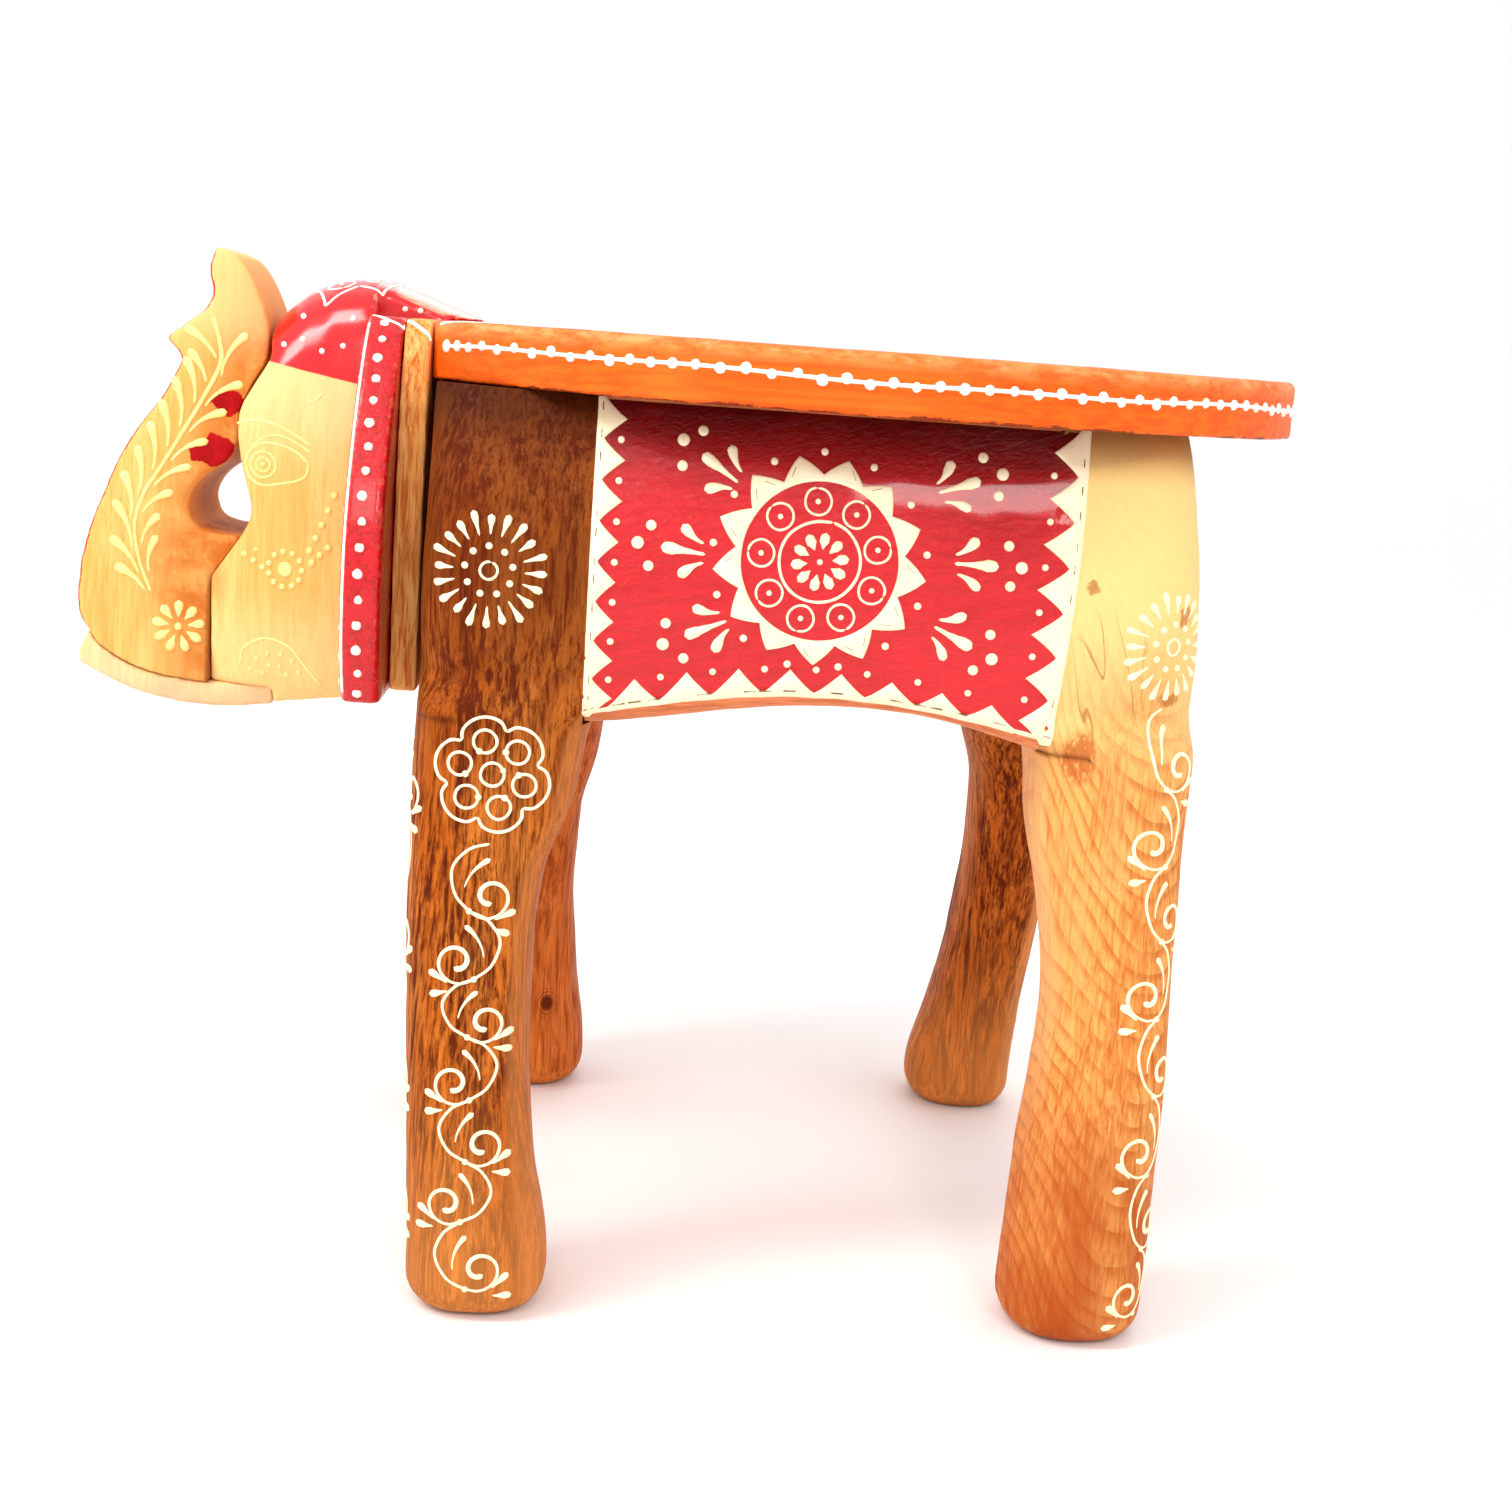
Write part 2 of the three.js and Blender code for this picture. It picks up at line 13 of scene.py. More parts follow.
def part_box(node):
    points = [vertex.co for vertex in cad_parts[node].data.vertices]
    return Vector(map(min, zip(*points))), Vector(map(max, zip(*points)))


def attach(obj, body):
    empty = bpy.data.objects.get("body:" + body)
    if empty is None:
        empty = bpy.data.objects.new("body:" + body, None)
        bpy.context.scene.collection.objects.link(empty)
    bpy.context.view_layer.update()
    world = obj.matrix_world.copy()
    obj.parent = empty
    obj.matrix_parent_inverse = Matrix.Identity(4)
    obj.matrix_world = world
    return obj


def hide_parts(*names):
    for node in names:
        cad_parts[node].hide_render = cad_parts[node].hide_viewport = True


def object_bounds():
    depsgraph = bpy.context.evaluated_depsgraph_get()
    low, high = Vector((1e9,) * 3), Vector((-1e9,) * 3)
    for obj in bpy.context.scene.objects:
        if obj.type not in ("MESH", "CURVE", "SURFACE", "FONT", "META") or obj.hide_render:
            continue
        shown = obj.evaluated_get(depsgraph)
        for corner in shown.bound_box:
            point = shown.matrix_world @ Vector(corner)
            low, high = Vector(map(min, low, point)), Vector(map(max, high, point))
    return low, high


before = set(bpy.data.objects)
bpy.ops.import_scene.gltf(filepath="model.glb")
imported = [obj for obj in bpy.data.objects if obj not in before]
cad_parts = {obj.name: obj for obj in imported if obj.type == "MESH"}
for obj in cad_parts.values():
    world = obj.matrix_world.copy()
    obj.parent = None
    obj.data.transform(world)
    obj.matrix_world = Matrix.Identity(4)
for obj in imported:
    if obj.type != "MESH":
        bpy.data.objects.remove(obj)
cad_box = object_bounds()

MM = 0.001
random.seed(12)

# ---- Driving dimensions, as in the CAD model ----

GAP = 0.3
SEAT_TOP = 300
SEAT_UNDERSIDE = 282
SEAT_HALF_LENGTH = 150
SEAT_HALF_WIDTH = 135.5
BELLY_BOTTOM = 184
BELLY_ARCH = 10
BELLY_EDGE_ROUND = 9
BODY_HALF_WIDTH = 113
BODY_WIDEST_Z = 225
BODY_CURVE = 0.0049
CORE_HALF_WIDTH = 40
FOOT_ROUND = 10

# The drawing of the part has its origin a little off the frame's. The seat's straight front edge shows by
# how much.
SEAT_FRONT_IN_DRAWING = -85.7
SEAT_FRONT_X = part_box("seat_board")[0].x / MM
DRAWING_TO_FRAME = SEAT_FRONT_X - SEAT_FRONT_IN_DRAWING
SEAT_CENTRE_X = 48.5 + DRAWING_TO_FRAME
TORSO_FRONT_X = -31.7 + DRAWING_TO_FRAME
TORSO_REAR_X = 106.5 + DRAWING_TO_FRAME
CORE_REAR_X = 147 + DRAWING_TO_FRAME

# Side outlines of the legs in the drawing: height, front edge, rear edge.
LEG_OUTLINES = {
    "leg_front_left": [
        (12, -77.5, -33.4), (46, -79, -39.4), (82, -80.5, -43), (110, -82, -43.5),
        (135, -83, -41.2), (160, -83.5, -33.5), (184, -83.5, -29),
    ],
    "leg_front_right": [
        (12, -74.5, -29.4), (46, -74, -33.5), (82, -73.5, -36.5), (114, -75, -35.4),
        (141, -77.5, -29.6), (160, -80, -27.5), (184, -82, -26),
    ],
    "leg_rear_left": [
        (12, 110, 155.5), (53, 112, 156.5), (80, 115.5, 156.5), (104, 117, 156.3),
        (136, 113.5, 156.5), (161, 108.5, 157), (184, 106.5, 157.8),
    ],
    "leg_rear_right": [
        (12, 105, 147), (40, 111, 148.5), (75, 117, 151.5), (110, 119.5, 153.5),
        (136, 118.5, 155), (161, 112, 156.5), (184, 105, 157.8),
    ],
}
LEG_INNER_FACE = [(0, 82), (50, 80), (110, 72), (160, 60), (184, 47)]
LEG_OUTER_FACE = [(0, 128), (50, 125), (110, 118), (160, 113), (184, 112)]
SHOULDER_Z = 198
FRONT_SQUARENESS = [(0, 2.5), (60, 2.8), (135, 3.1), (160, 3.3), (184, 3.9), (SHOULDER_Z, 4.5)]
REAR_SQUARENESS = [(0, 2.4), (60, 2.5), (135, 2.6), (160, 2.7), (184, 3.0), (SHOULDER_Z, 3.2)]
SHOULDER_FRONT_X = -83.5
RUMP_REAR_X = 158.3
RUMP_CURVE = 0.00075
SHOULDER_DEPTH = 92
EAR_SIDE = [(54, 300), (66, 290), (82, 268), (94, 242), (97, 220), (94, 198), (86, 182.5)]

# How many places go round a leg, up it below and beside the torso, and round a dot of paint.
LEG_STEPS = 112
LEG_LEVELS = 88
SHOULDER_LEVELS = 48
DOT_STEPS = 14
# How far from the middle of the stool the lines that lay paint on it start.
START_BESIDE, START_AHEAD, START_ABOVE = 260, 300, 420
SIDE_NAMES = {-1: "left", 1: "right"}


def colour(red, green, blue):
    """A screen colour as the linear values a shader takes."""
    def linear(value):
        share = value / 255
        return share / 12.92 if share <= 0.04045 else ((share + 0.055) / 1.055) ** 2.4
    return (linear(red), linear(green), linear(blue), 1)


def at(x, y, z):
    return Vector((x, y, z)) * MM


def blend(start, end, share):
    return start + (end - start) * share


def way_at(angle):
    """The direction at an angle in a flat drawing."""
    return Vector((math.cos(angle), math.sin(angle)))


# ---- Node trees ----

class Tree:
    """One material's nodes, added in short steps. Lengths in it are metres in the frame."""

    def __init__(self, name):
        self.material = bpy.data.materials.new(name)
        self.material.use_nodes = True
        self.nodes = self.material.node_tree.nodes
        self.links = self.material.node_tree.links
        self.shader = self.nodes["Principled BSDF"]
        self.place = self.add("ShaderNodeTexCoord").outputs["Object"]

    def add(self, kind, inputs=None, **settings):
        node = self.nodes.new(kind)
        for key, value in settings.items():
            setattr(node, key, value)
        for key, value in (inputs or {}).items():
            if isinstance(value, bpy.types.NodeSocket):
                self.links.new(value, node.inputs[key])
            else:
                node.inputs[key].default_value = value
        return node

    def axis(self, index):
        """One coordinate, in millimetres."""
        parts = self.add("ShaderNodeSeparateXYZ", {0: self.place})
        return self.times(parts.outputs[index], 1000)

    def math(self, operation, first, second=0.0):
        return self.add("ShaderNodeMath", {0: first, 1: second}, operation=operation).outputs[0]

    def times(self, first, second):
        return self.math("MULTIPLY", first, second)

    def plus(self, first, second):
        return self.math("ADD", first, second)

    def minus(self, first, second):
        return self.math("SUBTRACT", first, second)

    def most(self, first, second):
        return self.math("MAXIMUM", first, second)

    def mapped(self, scale, turn=(0, 0, 0)):
        """Coordinates for a pattern, with the number of repeats per metre along each axis."""
        turned = self.add("ShaderNodeMapping", {
            "Vector": self.place, "Rotation": [math.radians(a) for a in turn],
        })
        return self.add("ShaderNodeMapping", {"Vector": turned.outputs[0], "Scale": scale}).outputs[0]

    def noise(self, vector, detail=3.0, roughness=0.5, distortion=0.0):
        node = self.add("ShaderNodeTexNoise", {
            "Vector": vector, "Scale": 1.0, "Detail": detail,
            "Roughness": roughness, "Distortion": distortion,
        })
        return node.outputs[0]

    def span(self, value, low, high, to_low=0.0, to_high=1.0):
        """Goes smoothly from to_low to to_high while value goes from low to high."""
        node = self.add("ShaderNodeMapRange", {
            "Value": value, "From Min": low, "From Max": high, "To Min": to_low, "To Max": to_high,
        }, interpolation_type="SMOOTHSTEP")
        return node.outputs[0]

    def mix(self, share, first, second):
        node = self.add("ShaderNodeMix", data_type="RGBA")
        for index, value in ((0, share), (6, first), (7, second)):
            if isinstance(value, bpy.types.NodeSocket):
                self.links.new(value, node.inputs[index])
            else:
                node.inputs[index].default_value = value
        return node.outputs[2]

    def blob(self, centre, size):
        """1 at a point, fading to 0 at an ellipsoid of that size round it. Millimetres."""
        low = [-c / s for c, s in zip(centre, size)]
        moved = self.add("ShaderNodeMapping", {
            "Vector": self.place, "Location": low, "Scale": [1000 / s for s in size],
        })
        distance = self.add("ShaderNodeVectorMath", {0: moved.outputs[0]}, operation="LENGTH")
        return self.span(distance.outputs["Value"], 1.0, 0.0)

    def facing(self, index):
        """How far the surface looks along an axis of the frame, from -1 to 1."""
        normal = self.add("ShaderNodeNewGeometry").outputs["Normal"]
        return self.add("ShaderNodeSeparateXYZ", {0: normal}).outputs[index]

    def attribute(self, name):
        return self.add("ShaderNodeAttribute", attribute_name=name).outputs["Fac"]

    def surface(self, base, rough, height=None, depth=0.3, coat=0.0, coat_rough=0.1, shine=0.3):
        """Links the colour, roughness and relief. depth is the relief's depth in millimetres."""
        for key, value in (("Base Color", base), ("Roughness", rough)):
            if isinstance(value, bpy.types.NodeSocket):
                self.links.new(value, self.shader.inputs[key])
            else:
                self.shader.inputs[key].default_value = value
        if height is not None:
            relief = self.add("ShaderNodeBump", {"Height": height, "Strength": 1.0, "Distance": depth * MM})
            self.links.new(relief.outputs[0], self.shader.inputs["Normal"])
        if isinstance(coat, bpy.types.NodeSocket):
            self.links.new(coat, self.shader.inputs["Coat Weight"])
        else:
            self.shader.inputs["Coat Weight"].default_value = coat
        self.shader.inputs["Coat Roughness"].default_value = coat_rough
        self.shader.inputs["Specular IOR Level"].default_value = shine
        return self.material


# ---- Wood and paint ----

class Wood:
    """The look of one sort of wood: colour, roughness and relief sockets for a Tree."""

    def __init__(self, tree, dark, middle, light, along=(1, 1, 0.08), rings=0.5, ring_phase=None,
                 ring_warp=3.0, cloudy=0.5, contrast=1.0, pores=0.5):
        """along squeezes the grain along an axis. ring_phase counts the growth lines across the piece."""
        self.tree = tree
        streak = tree.noise(tree.mapped([190 * a for a in along]), 3.0, 0.6, 0.4)
        fibre = tree.noise(tree.mapped([780 * a for a in along]), 4.0, 0.7, 0.3)
        fleck = tree.noise(tree.mapped([1500 * a for a in along]), 2.0, 0.6)
        cloud = tree.noise(tree.mapped([40 * a ** 0.6 for a in along]), 3.0, 0.5)
        warp = tree.noise(tree.mapped([30 * a ** 0.3 for a in along]), 3.0, 0.55)
        both = tree.plus(tree.times(streak, 0.4), tree.times(fibre, 0.6))
        base = tree.mix(tree.span(both, 0.5 - 0.09 / contrast, 0.5 + 0.08 / contrast), dark, middle)
        bright = tree.plus(tree.times(cloud, 0.55), tree.times(fibre, 0.45))
        base = tree.mix(tree.span(bright, 0.44, 0.6, 0.0, cloudy), base, light)
        if ring_phase is None:
            across = tree.mapped([1, 1, 0.16], (4, -5, 0))
            radius = tree.add("ShaderNodeVectorMath", {0: across}, operation="LENGTH").outputs["Value"]
            ring_phase = tree.times(radius, 110)
        wandering = tree.plus(ring_phase, tree.times(warp, ring_warp))
        saw = tree.math("FRACT", wandering)
        ring = tree.times(tree.span(saw, 0.45, 0.97), tree.span(saw, 0.0, 0.06))
        uneven = tree.span(streak, 0.35, 0.6, 0.25 * rings, rings)
        base = tree.mix(tree.times(ring, uneven), base, dark)
        deep = [c * 0.55 for c in dark[:3]] + [1]
        self.base = tree.mix(tree.span(fleck, 0.58, 0.7, 0.0, pores), base, deep)
        self.height = tree.plus(tree.times(fibre, 0.6), tree.times(fleck, 0.4))
        self.rough = tree.span(fibre, 0.35, 0.65, 0.66, 0.45)

    def knot(self, centre, size, dark):
        """A knot: a dark eye with the grain bent round it."""
        tree = self.tree
        near = tree.blob(centre, size)
        wobble = tree.noise(tree.mapped((140, 140, 140)), 2.0)
        circles = tree.plus(tree.times(near, 4.5), wobble)
        ripple = tree.span(tree.math("PINGPONG", circles, 0.5), 0.18, 0.42)
        halo = tree.times(tree.span(near, 0.02, 0.5), ripple)
        self.base = tree.mix(tree.times(halo, 0.75), self.base, dark)
        self.base = tree.mix(tree.span(near, 0.62, 0.8), self.base, [c * 0.6 for c in dark[:3]] + [1])

    def blot(self, centre, size, dark):
        """A ragged rust-coloured blemish."""
        tree = self.tree
        ragged = tree.noise(tree.mapped((420, 420, 300)), 4.0, 0.7)
        patch = tree.times(tree.blob(centre, size), tree.span(ragged, 0.3, 0.62, 0.3, 1.6))
        self.base = tree.mix(tree.span(patch, 0.2, 0.75, 0.0, 0.75), self.base, dark)

    # Mixes a colour in by share: real stains, and in some places painted shade or painted light.
    def stain_and_painted_light(self, share, shade):
        self.base = self.tree.mix(share, self.base, shade)

    def finish(self, depth=0.12, coat=0.0, coat_rough=0.25):
        worn = self.tree.span(self.tree.attribute("worn"), 0.3, 1.0, 0.0, 0.3)
        self.base = self.tree.mix(worn, self.base, colour(240, 170, 96))
        return self.tree.surface(self.base, self.rough, self.height, depth, coat, coat_rough, 0.07)


def dark_leg_wood():
    """Dark wood, darker towards the top, with painted shade under the seat, lighter at the foot, and with
    painted light on the faces that look to the rear.
    """
    tree = Tree("dark_wood")
    wood = Wood(tree, colour(92, 30, 2), colour(184, 90, 20), colour(226, 138, 58), (1, 1, 0.07),
                rings=0.4, cloudy=0.45, pores=0.8)
    height = tree.axis(2)
    wood.stain_and_painted_light(tree.span(height, 140, 235, 0.0, 0.7), colour(88, 26, 1))
    # Painted shade under the seat: the top of the leg darkens towards the seat's underside.
    wood.stain_and_painted_light(tree.span(height, 255, 282, 0.0, 0.7), colour(44, 9, 1))
    wood.stain_and_painted_light(tree.span(height, 90, 0, 0.0, 0.45), colour(228, 146, 74))
    # Painted light: the faces that look to the rear are lighter.
    wood.stain_and_painted_light(tree.span(tree.facing(0), 0.5, 0.75, 0.0, 0.4), colour(222, 140, 76))
    return wood.finish()


def brown_leg_wood():
    tree = Tree("brown_wood")
    wood = Wood(tree, colour(150, 60, 14), colour(206, 104, 38), colour(230, 138, 66), (1, 1, 0.05),
                rings=0.45, contrast=0.7, pores=0.4)
    wood.knot((-42, 80, 37), (7, 12, 9), colour(120, 44, 14))
    return wood.finish()


def pale_leg_wood():
    """Pale wood whose growth lines hang in bows, browner and smoky towards the foot."""
    tree = Tree("pale_wood")
    height = tree.axis(2)
    off_heart = tree.minus(tree.axis(0), 145)
    sag = tree.times(tree.times(off_heart, off_heart), 0.042)
    bows = tree.times(tree.minus(height, sag), 0.125)
    drift = tree.noise(tree.mapped((17, 17, 17)), 1.0)
    bows = tree.plus(bows, tree.times(drift, 5.0))
    wood = Wood(tree, colour(184, 88, 30), colour(240, 162, 84), colour(250, 190, 110), (1, 1, 0.1),
                rings=0.65, ring_phase=bows, ring_warp=1.0, cloudy=0.5, contrast=0.3, pores=0.12)
    wander = tree.noise(tree.mapped((22, 22, 22)), 2.0)
    level = tree.plus(height, tree.times(wander, 60))
    wood.stain_and_painted_light(tree.span(level, 190, 262, 0.0, 0.88), colour(248, 214, 140))
    smoke = tree.noise(tree.mapped((40, 40, 14), (0, 30, 0)), 4.0, 0.6)
    wood.stain_and_painted_light(tree.times(tree.span(level, 150, 30), tree.span(smoke, 0.35, 0.66, 0.3, 0.9)),
               colour(168, 66, 16))
    # Painted shade under the seat: a brown band darkens the top of the leg.
    wood.stain_and_painted_light(tree.span(height, 264, 282, 0.0, 0.8), colour(140, 72, 18))
    # Painted light: the faces that look forward are lighter, between 40 and 150 mm up.
    front = tree.span(tree.facing(0), -0.82, -0.95, 0.0, 0.4)
    wood.stain_and_painted_light(tree.times(front, tree.span(height, 40, 150)), colour(252, 206, 140))
    crack = tree.noise(tree.mapped((70, 70, 9), (0, 16, 0)), 2.0)
    crack = tree.span(tree.math("ABSOLUTE", tree.minus(crack, 0.5)), 0.008, 0.002)
    worst = tree.blob((126, -108, 208), (20, 30, 34))
    wood.stain_and_painted_light(tree.times(crack, tree.span(worst, 0.1, 0.6, 0.0, 0.6)), colour(150, 84, 36))
    wood.blot((120, -109, 184), (9, 12, 13), colour(184, 88, 36))
    wood.blot((146, -100, 203), (7, 14, 5), colour(176, 92, 36))
    wood.blot((149, -100, 228), (5, 14, 6), colour(190, 106, 50))
    wood.blot((118.5, -112, 236), (3.5, 12, 4), colour(170, 96, 40))
    return wood.finish()


def bare_board_wood():
    tree = Tree("bare_wood")
    wood = Wood(tree, colour(200, 98, 28), colour(248, 166, 84), colour(254, 206, 130), (1, 1, 0.06),
                rings=0.3, pores=0.4)
    return wood.finish(0.5, 0.0, 0.4)


def red_paint(tree, shaded=0.0, chipped=0.7):
    """Brushed red paint, chipped where it is worn, and darker under the seat by shaded, a painted shade."""
    streak = tree.noise(tree.mapped((60, 60, 420), (24, 10, 0)), 4.0, 0.6)
    cloud = tree.noise(tree.mapped((24, 24, 24)), 2.0)
    red = tree.mix(tree.span(streak, 0.3, 0.72), colour(196, 5, 16), colour(214, 10, 24))
    red = tree.mix(tree.span(cloud, 0.4, 0.75, 0.0, 0.5), red, colour(226, 20, 32))
    # Painted shade under the seat, as strong as shaded.
    red = tree.mix(tree.span(tree.axis(2), 250, 282, 0.0, shaded), red, colour(84, 2, 4))
    chips = tree.noise(tree.mapped((380, 380, 380)), 3.0, 0.7)
    worn = tree.times(tree.attribute("worn"), chips)
    return tree.mix(tree.span(worn, 0.5, 0.6, 0.0, chipped), red, colour(240, 150, 110))


def ear_paint():
    """Red paint, with a painted highlight along the front corner of the rim."""
    tree = Tree("red_paint")
    base = red_paint(tree, chipped=0.2)
    front = tree.axis(0)
    # Painted highlight: a pale pink line along the rim's front corner, broken by speckle.
    bevel_highlight = tree.times(tree.span(front, -103.9, -104.7), tree.span(tree.facing(0), -0.9, -0.7))
    speck = tree.noise(tree.mapped((300, 300, 90)), 3.0)
    bevel_highlight = tree.times(bevel_highlight, tree.span(speck, 0.35, 0.6, 0.2, 0.75))
    base = tree.mix(bevel_highlight, base, colour(245, 150, 140))
    pucker = tree.noise(tree.mapped((520, 420, 520)), 4.0, 0.65, 0.5)
    base = tree.mix(tree.span(pucker, 0.52, 0.36, 0.0, 0.5), base, colour(128, 8, 10))
    return tree.surface(base, tree.span(speck, 0.3, 0.7, 0.34, 0.24), pucker, 0.4, 0.3, 0.1)


def saddle_paint():
    """Puckered red paint, more crinkled at the upper rear corner."""
    tree = Tree("saddle_paint")
    # A strong painted shade under the seat.
    base = red_paint(tree, shaded=0.95)
    pucker = tree.noise(tree.mapped((260, 260, 520), (0, 14, 0)), 5.0, 0.65, 0.8)
    crinkle = tree.noise(tree.mapped((150, 150, 330), (0, 10, 0)), 4.0, 0.7, 1.2)
    corner = tree.blob((92, 0, 262), (52, 200, 40))
    height = tree.plus(pucker, tree.times(tree.times(corner, crinkle), 7))
    return tree.surface(base, tree.span(pucker, 0.3, 0.7, 0.4, 0.26), height, 0.8, 0.35, 0.08)


def torso_wood():
    tree = Tree("torso_wood")
    wood = Wood(tree, colour(176, 70, 44), colour(226, 124, 84), colour(240, 156, 114), (0.05, 1, 1),
                rings=0.3, contrast=0.7, pores=0.3)
    return wood.finish(0.15, 0.2, 0.25)


def seat_paint():
    """Orange paint in long brush strokes, paler along the upper corner from wear and a painted highlight,
    and ragged along the lower one.
    """
    tree = Tree("seat_paint")
    streak = tree.noise(tree.mapped((9, 240, 520), (0, 0, 6)), 5.0, 0.62)
    cloud = tree.noise(tree.mapped((16, 16, 16)), 3.0)
    orange = tree.mix(tree.span(streak, 0.35, 0.65), colour(228, 84, 8), colour(242, 104, 16))
    orange = tree.mix(tree.span(cloud, 0.45, 0.72, 0.0, 0.35), orange, colour(248, 134, 52))
    height = tree.axis(2)
    chips = tree.noise(tree.mapped((95, 95, 240)), 5.0, 0.75)
    rag = tree.plus(height, tree.times(chips, 6))
    orange = tree.mix(tree.span(rag, 285.6, 285.1, 0.0, 0.85), orange, colour(104, 30, 8))
    # Paler along the upper corner: chips where the paint is worn, and a painted highlight band on the
    # rounded edge.
    worn = tree.times(tree.attribute("worn"), tree.span(chips, 0.35, 0.65))
    upper = tree.span(height, 294, 297)
    orange = tree.mix(tree.times(tree.span(worn, 0.2, 0.7, 0.0, 0.6), upper), orange, colour(255, 186, 130))
    edge_wear_and_highlight = tree.times(tree.span(height, 293.5, 298.5), tree.span(height, 299.95, 299.6))
    orange = tree.mix(tree.times(edge_wear_and_highlight, tree.span(chips, 0.35, 0.6, 0.1, 0.6)), orange,
                      colour(250, 164, 96))
    speck = tree.noise(tree.mapped((700, 700, 700)), 3.0, 0.7)
    relief = tree.plus(tree.times(streak, 0.5), tree.times(speck, 0.5))
    return tree.surface(orange, tree.span(speck, 0.35, 0.65, 0.6, 0.42), relief, 0.2, 0.06, 0.3, 0.15)


def face_wood(tree, dirt):
    """Pale yellow varnished wood, stained brown where dirt is near 1."""
    wood = Wood(tree, colour(224, 160, 78), colour(240, 186, 104), colour(246, 200, 126), (1, 1, 0.06),
                rings=0.1, contrast=0.35, pores=0.1)
    rub = tree.noise(tree.mapped((70, 70, 70)), 4.0, 0.65)
    wood.stain_and_painted_light(tree.times(dirt, tree.span(rub, 0.3, 0.6, 0.35, 1.0)), colour(196, 108, 40))
    return wood


def head_paint():
    """The red cap over the yellow face, with the bare crest behind it."""
    tree = Tree("head_paint")
    x = tree.axis(0)
    height = tree.axis(2)
    wood = face_wood(tree, tree.blob((-156, 0, 210), (9, 60, 14)))
    wood.stain_and_painted_light(tree.span(height, 214, 186, 0.0, 0.4), colour(252, 222, 158))
    # Paler towards the top of the face: the wood's paler tone with a painted highlight.
    wood.stain_and_painted_light(tree.span(height, 240, 275, 0.0, 0.45), colour(250, 226, 168))
    wander = tree.noise(tree.mapped((60, 60, 60)), 2.0)
    edge = tree.plus(tree.times(x, -0.17), 258.6)
    edge = tree.plus(edge, tree.times(wander, 1.6))
    above = tree.span(tree.minus(height, edge), -0.25, 0.25)
    base = tree.mix(above, wood.base, red_paint(tree))
    rough = tree.mix(above, wood.rough, tree.span(wander, 0.3, 0.7, 0.28, 0.18))
    crest = tree.times(tree.span(x, -101.5, -99.5), tree.span(tree.facing(2), 0.62, 0.8))
    bare = Wood(tree, colour(196, 110, 84), colour(232, 168, 140), colour(240, 190, 164), (0.06, 1, 1),
                rings=0.4, contrast=0.8, pores=0.4)
    base = tree.mix(crest, base, bare.base)
    return tree.surface(base, rough, wood.height, 0.08, tree.span(above, 0.0, 1.0, 0.05, 1.0), 0.16, 0.1)


def trunk_paint():
    """Yellow sides, stained darker towards the rear, and red on the faces that look forward."""
    tree = Tree("trunk_paint")
    x = tree.axis(0)
    height = tree.axis(2)
    bend = tree.times(tree.math("ABSOLUTE", tree.minus(height, 215)), 0.30)
    rear = tree.span(tree.minus(x, bend), -190, -164)
    rear = tree.most(rear, tree.blob((-157, 0, 214), (17, 60, 24)))
    rear = tree.most(rear, tree.times(tree.blob((-148, 0, 300), (9, 60, 26)), 0.3))
    rear = tree.most(rear, tree.times(tree.blob((-150, 0, 272), (11, 60, 30)), 0.6))
    wood = face_wood(tree, rear)
    wood.stain_and_painted_light(tree.span(height, 278, 300, 0.0, 0.5), colour(252, 212, 146))
    wood.stain_and_painted_light(tree.span(tree.facing(0), 0.3, 0.7, 0.0, 0.7), colour(232, 160, 84))
    front = tree.times(tree.span(tree.facing(0), -0.5, -0.62), tree.span(x, -153.5, -155.5))
    front = tree.times(front, tree.span(height, 190, 194))
    rough_edge = tree.noise(tree.mapped((260, 260, 160)), 3.0)
    smears = 0.0
    for centre, size in (((-153.6, -24, 268.6), (9, 12, 6.5)), ((-157.6, -25, 252.4), (13, 12, 8))):
        patch = tree.plus(tree.blob(centre, size), tree.times(rough_edge, 0.9))
        smears = tree.most(smears, tree.span(patch, 0.78, 0.84))
    base = tree.mix(front, wood.base, red_paint(tree))
    base = tree.mix(smears, base, tree.mix(rough_edge, colour(120, 8, 8), colour(196, 20, 26)))
    seam = tree.math("ABSOLUTE", tree.minus(x, -156.7))
    crack = tree.times(tree.span(seam, 2.0, 0.4), tree.span(height, 216, 208))
    base = tree.mix(tree.times(crack, 0.7), base, colour(120, 60, 20))
    return tree.surface(base, wood.rough, wood.height, 0.08, 0.0, 0.2, 0.06)


def jaw_paint():
    tree = Tree("jaw_paint")
    height = tree.axis(2)
    wander = tree.noise(tree.mapped((45, 45, 45)), 4.0, 0.6)
    low = tree.span(tree.plus(height, tree.times(wander, 16)), 186, 178)
    wood = face_wood(tree, tree.times(low, 0.75))
    wood.stain_and_painted_light(0.35, colour(255, 240, 205))
    return tree.surface(wood.base, wood.rough, wood.height, 0.12, 0.06, 0.25, 0.15)


def thick_paint(name, shade, second_tone):
    """Paint laid on in raised strokes, a little uneven in colour."""
    tree = Tree(name)
    cloud = tree.noise(tree.mapped((160, 160, 160)), 3.0)
    base = tree.mix(tree.span(cloud, 0.3, 0.7, 0.0, 0.5), shade, second_tone)
    fine = tree.noise(tree.mapped((1400, 1400, 1400)), 2.0)
    return tree.surface(base, 0.42, fine, 0.05, 0.25, 0.2)


def dowel_wood():
    tree = Tree("dowel_wood")
    wood = Wood(tree, colour(180, 132, 80), colour(214, 172, 116), colour(228, 192, 140), (1, 0.05, 1),
                rings=0.2, contrast=0.7)
    return wood.finish(0.1, 0.0, 0.5)


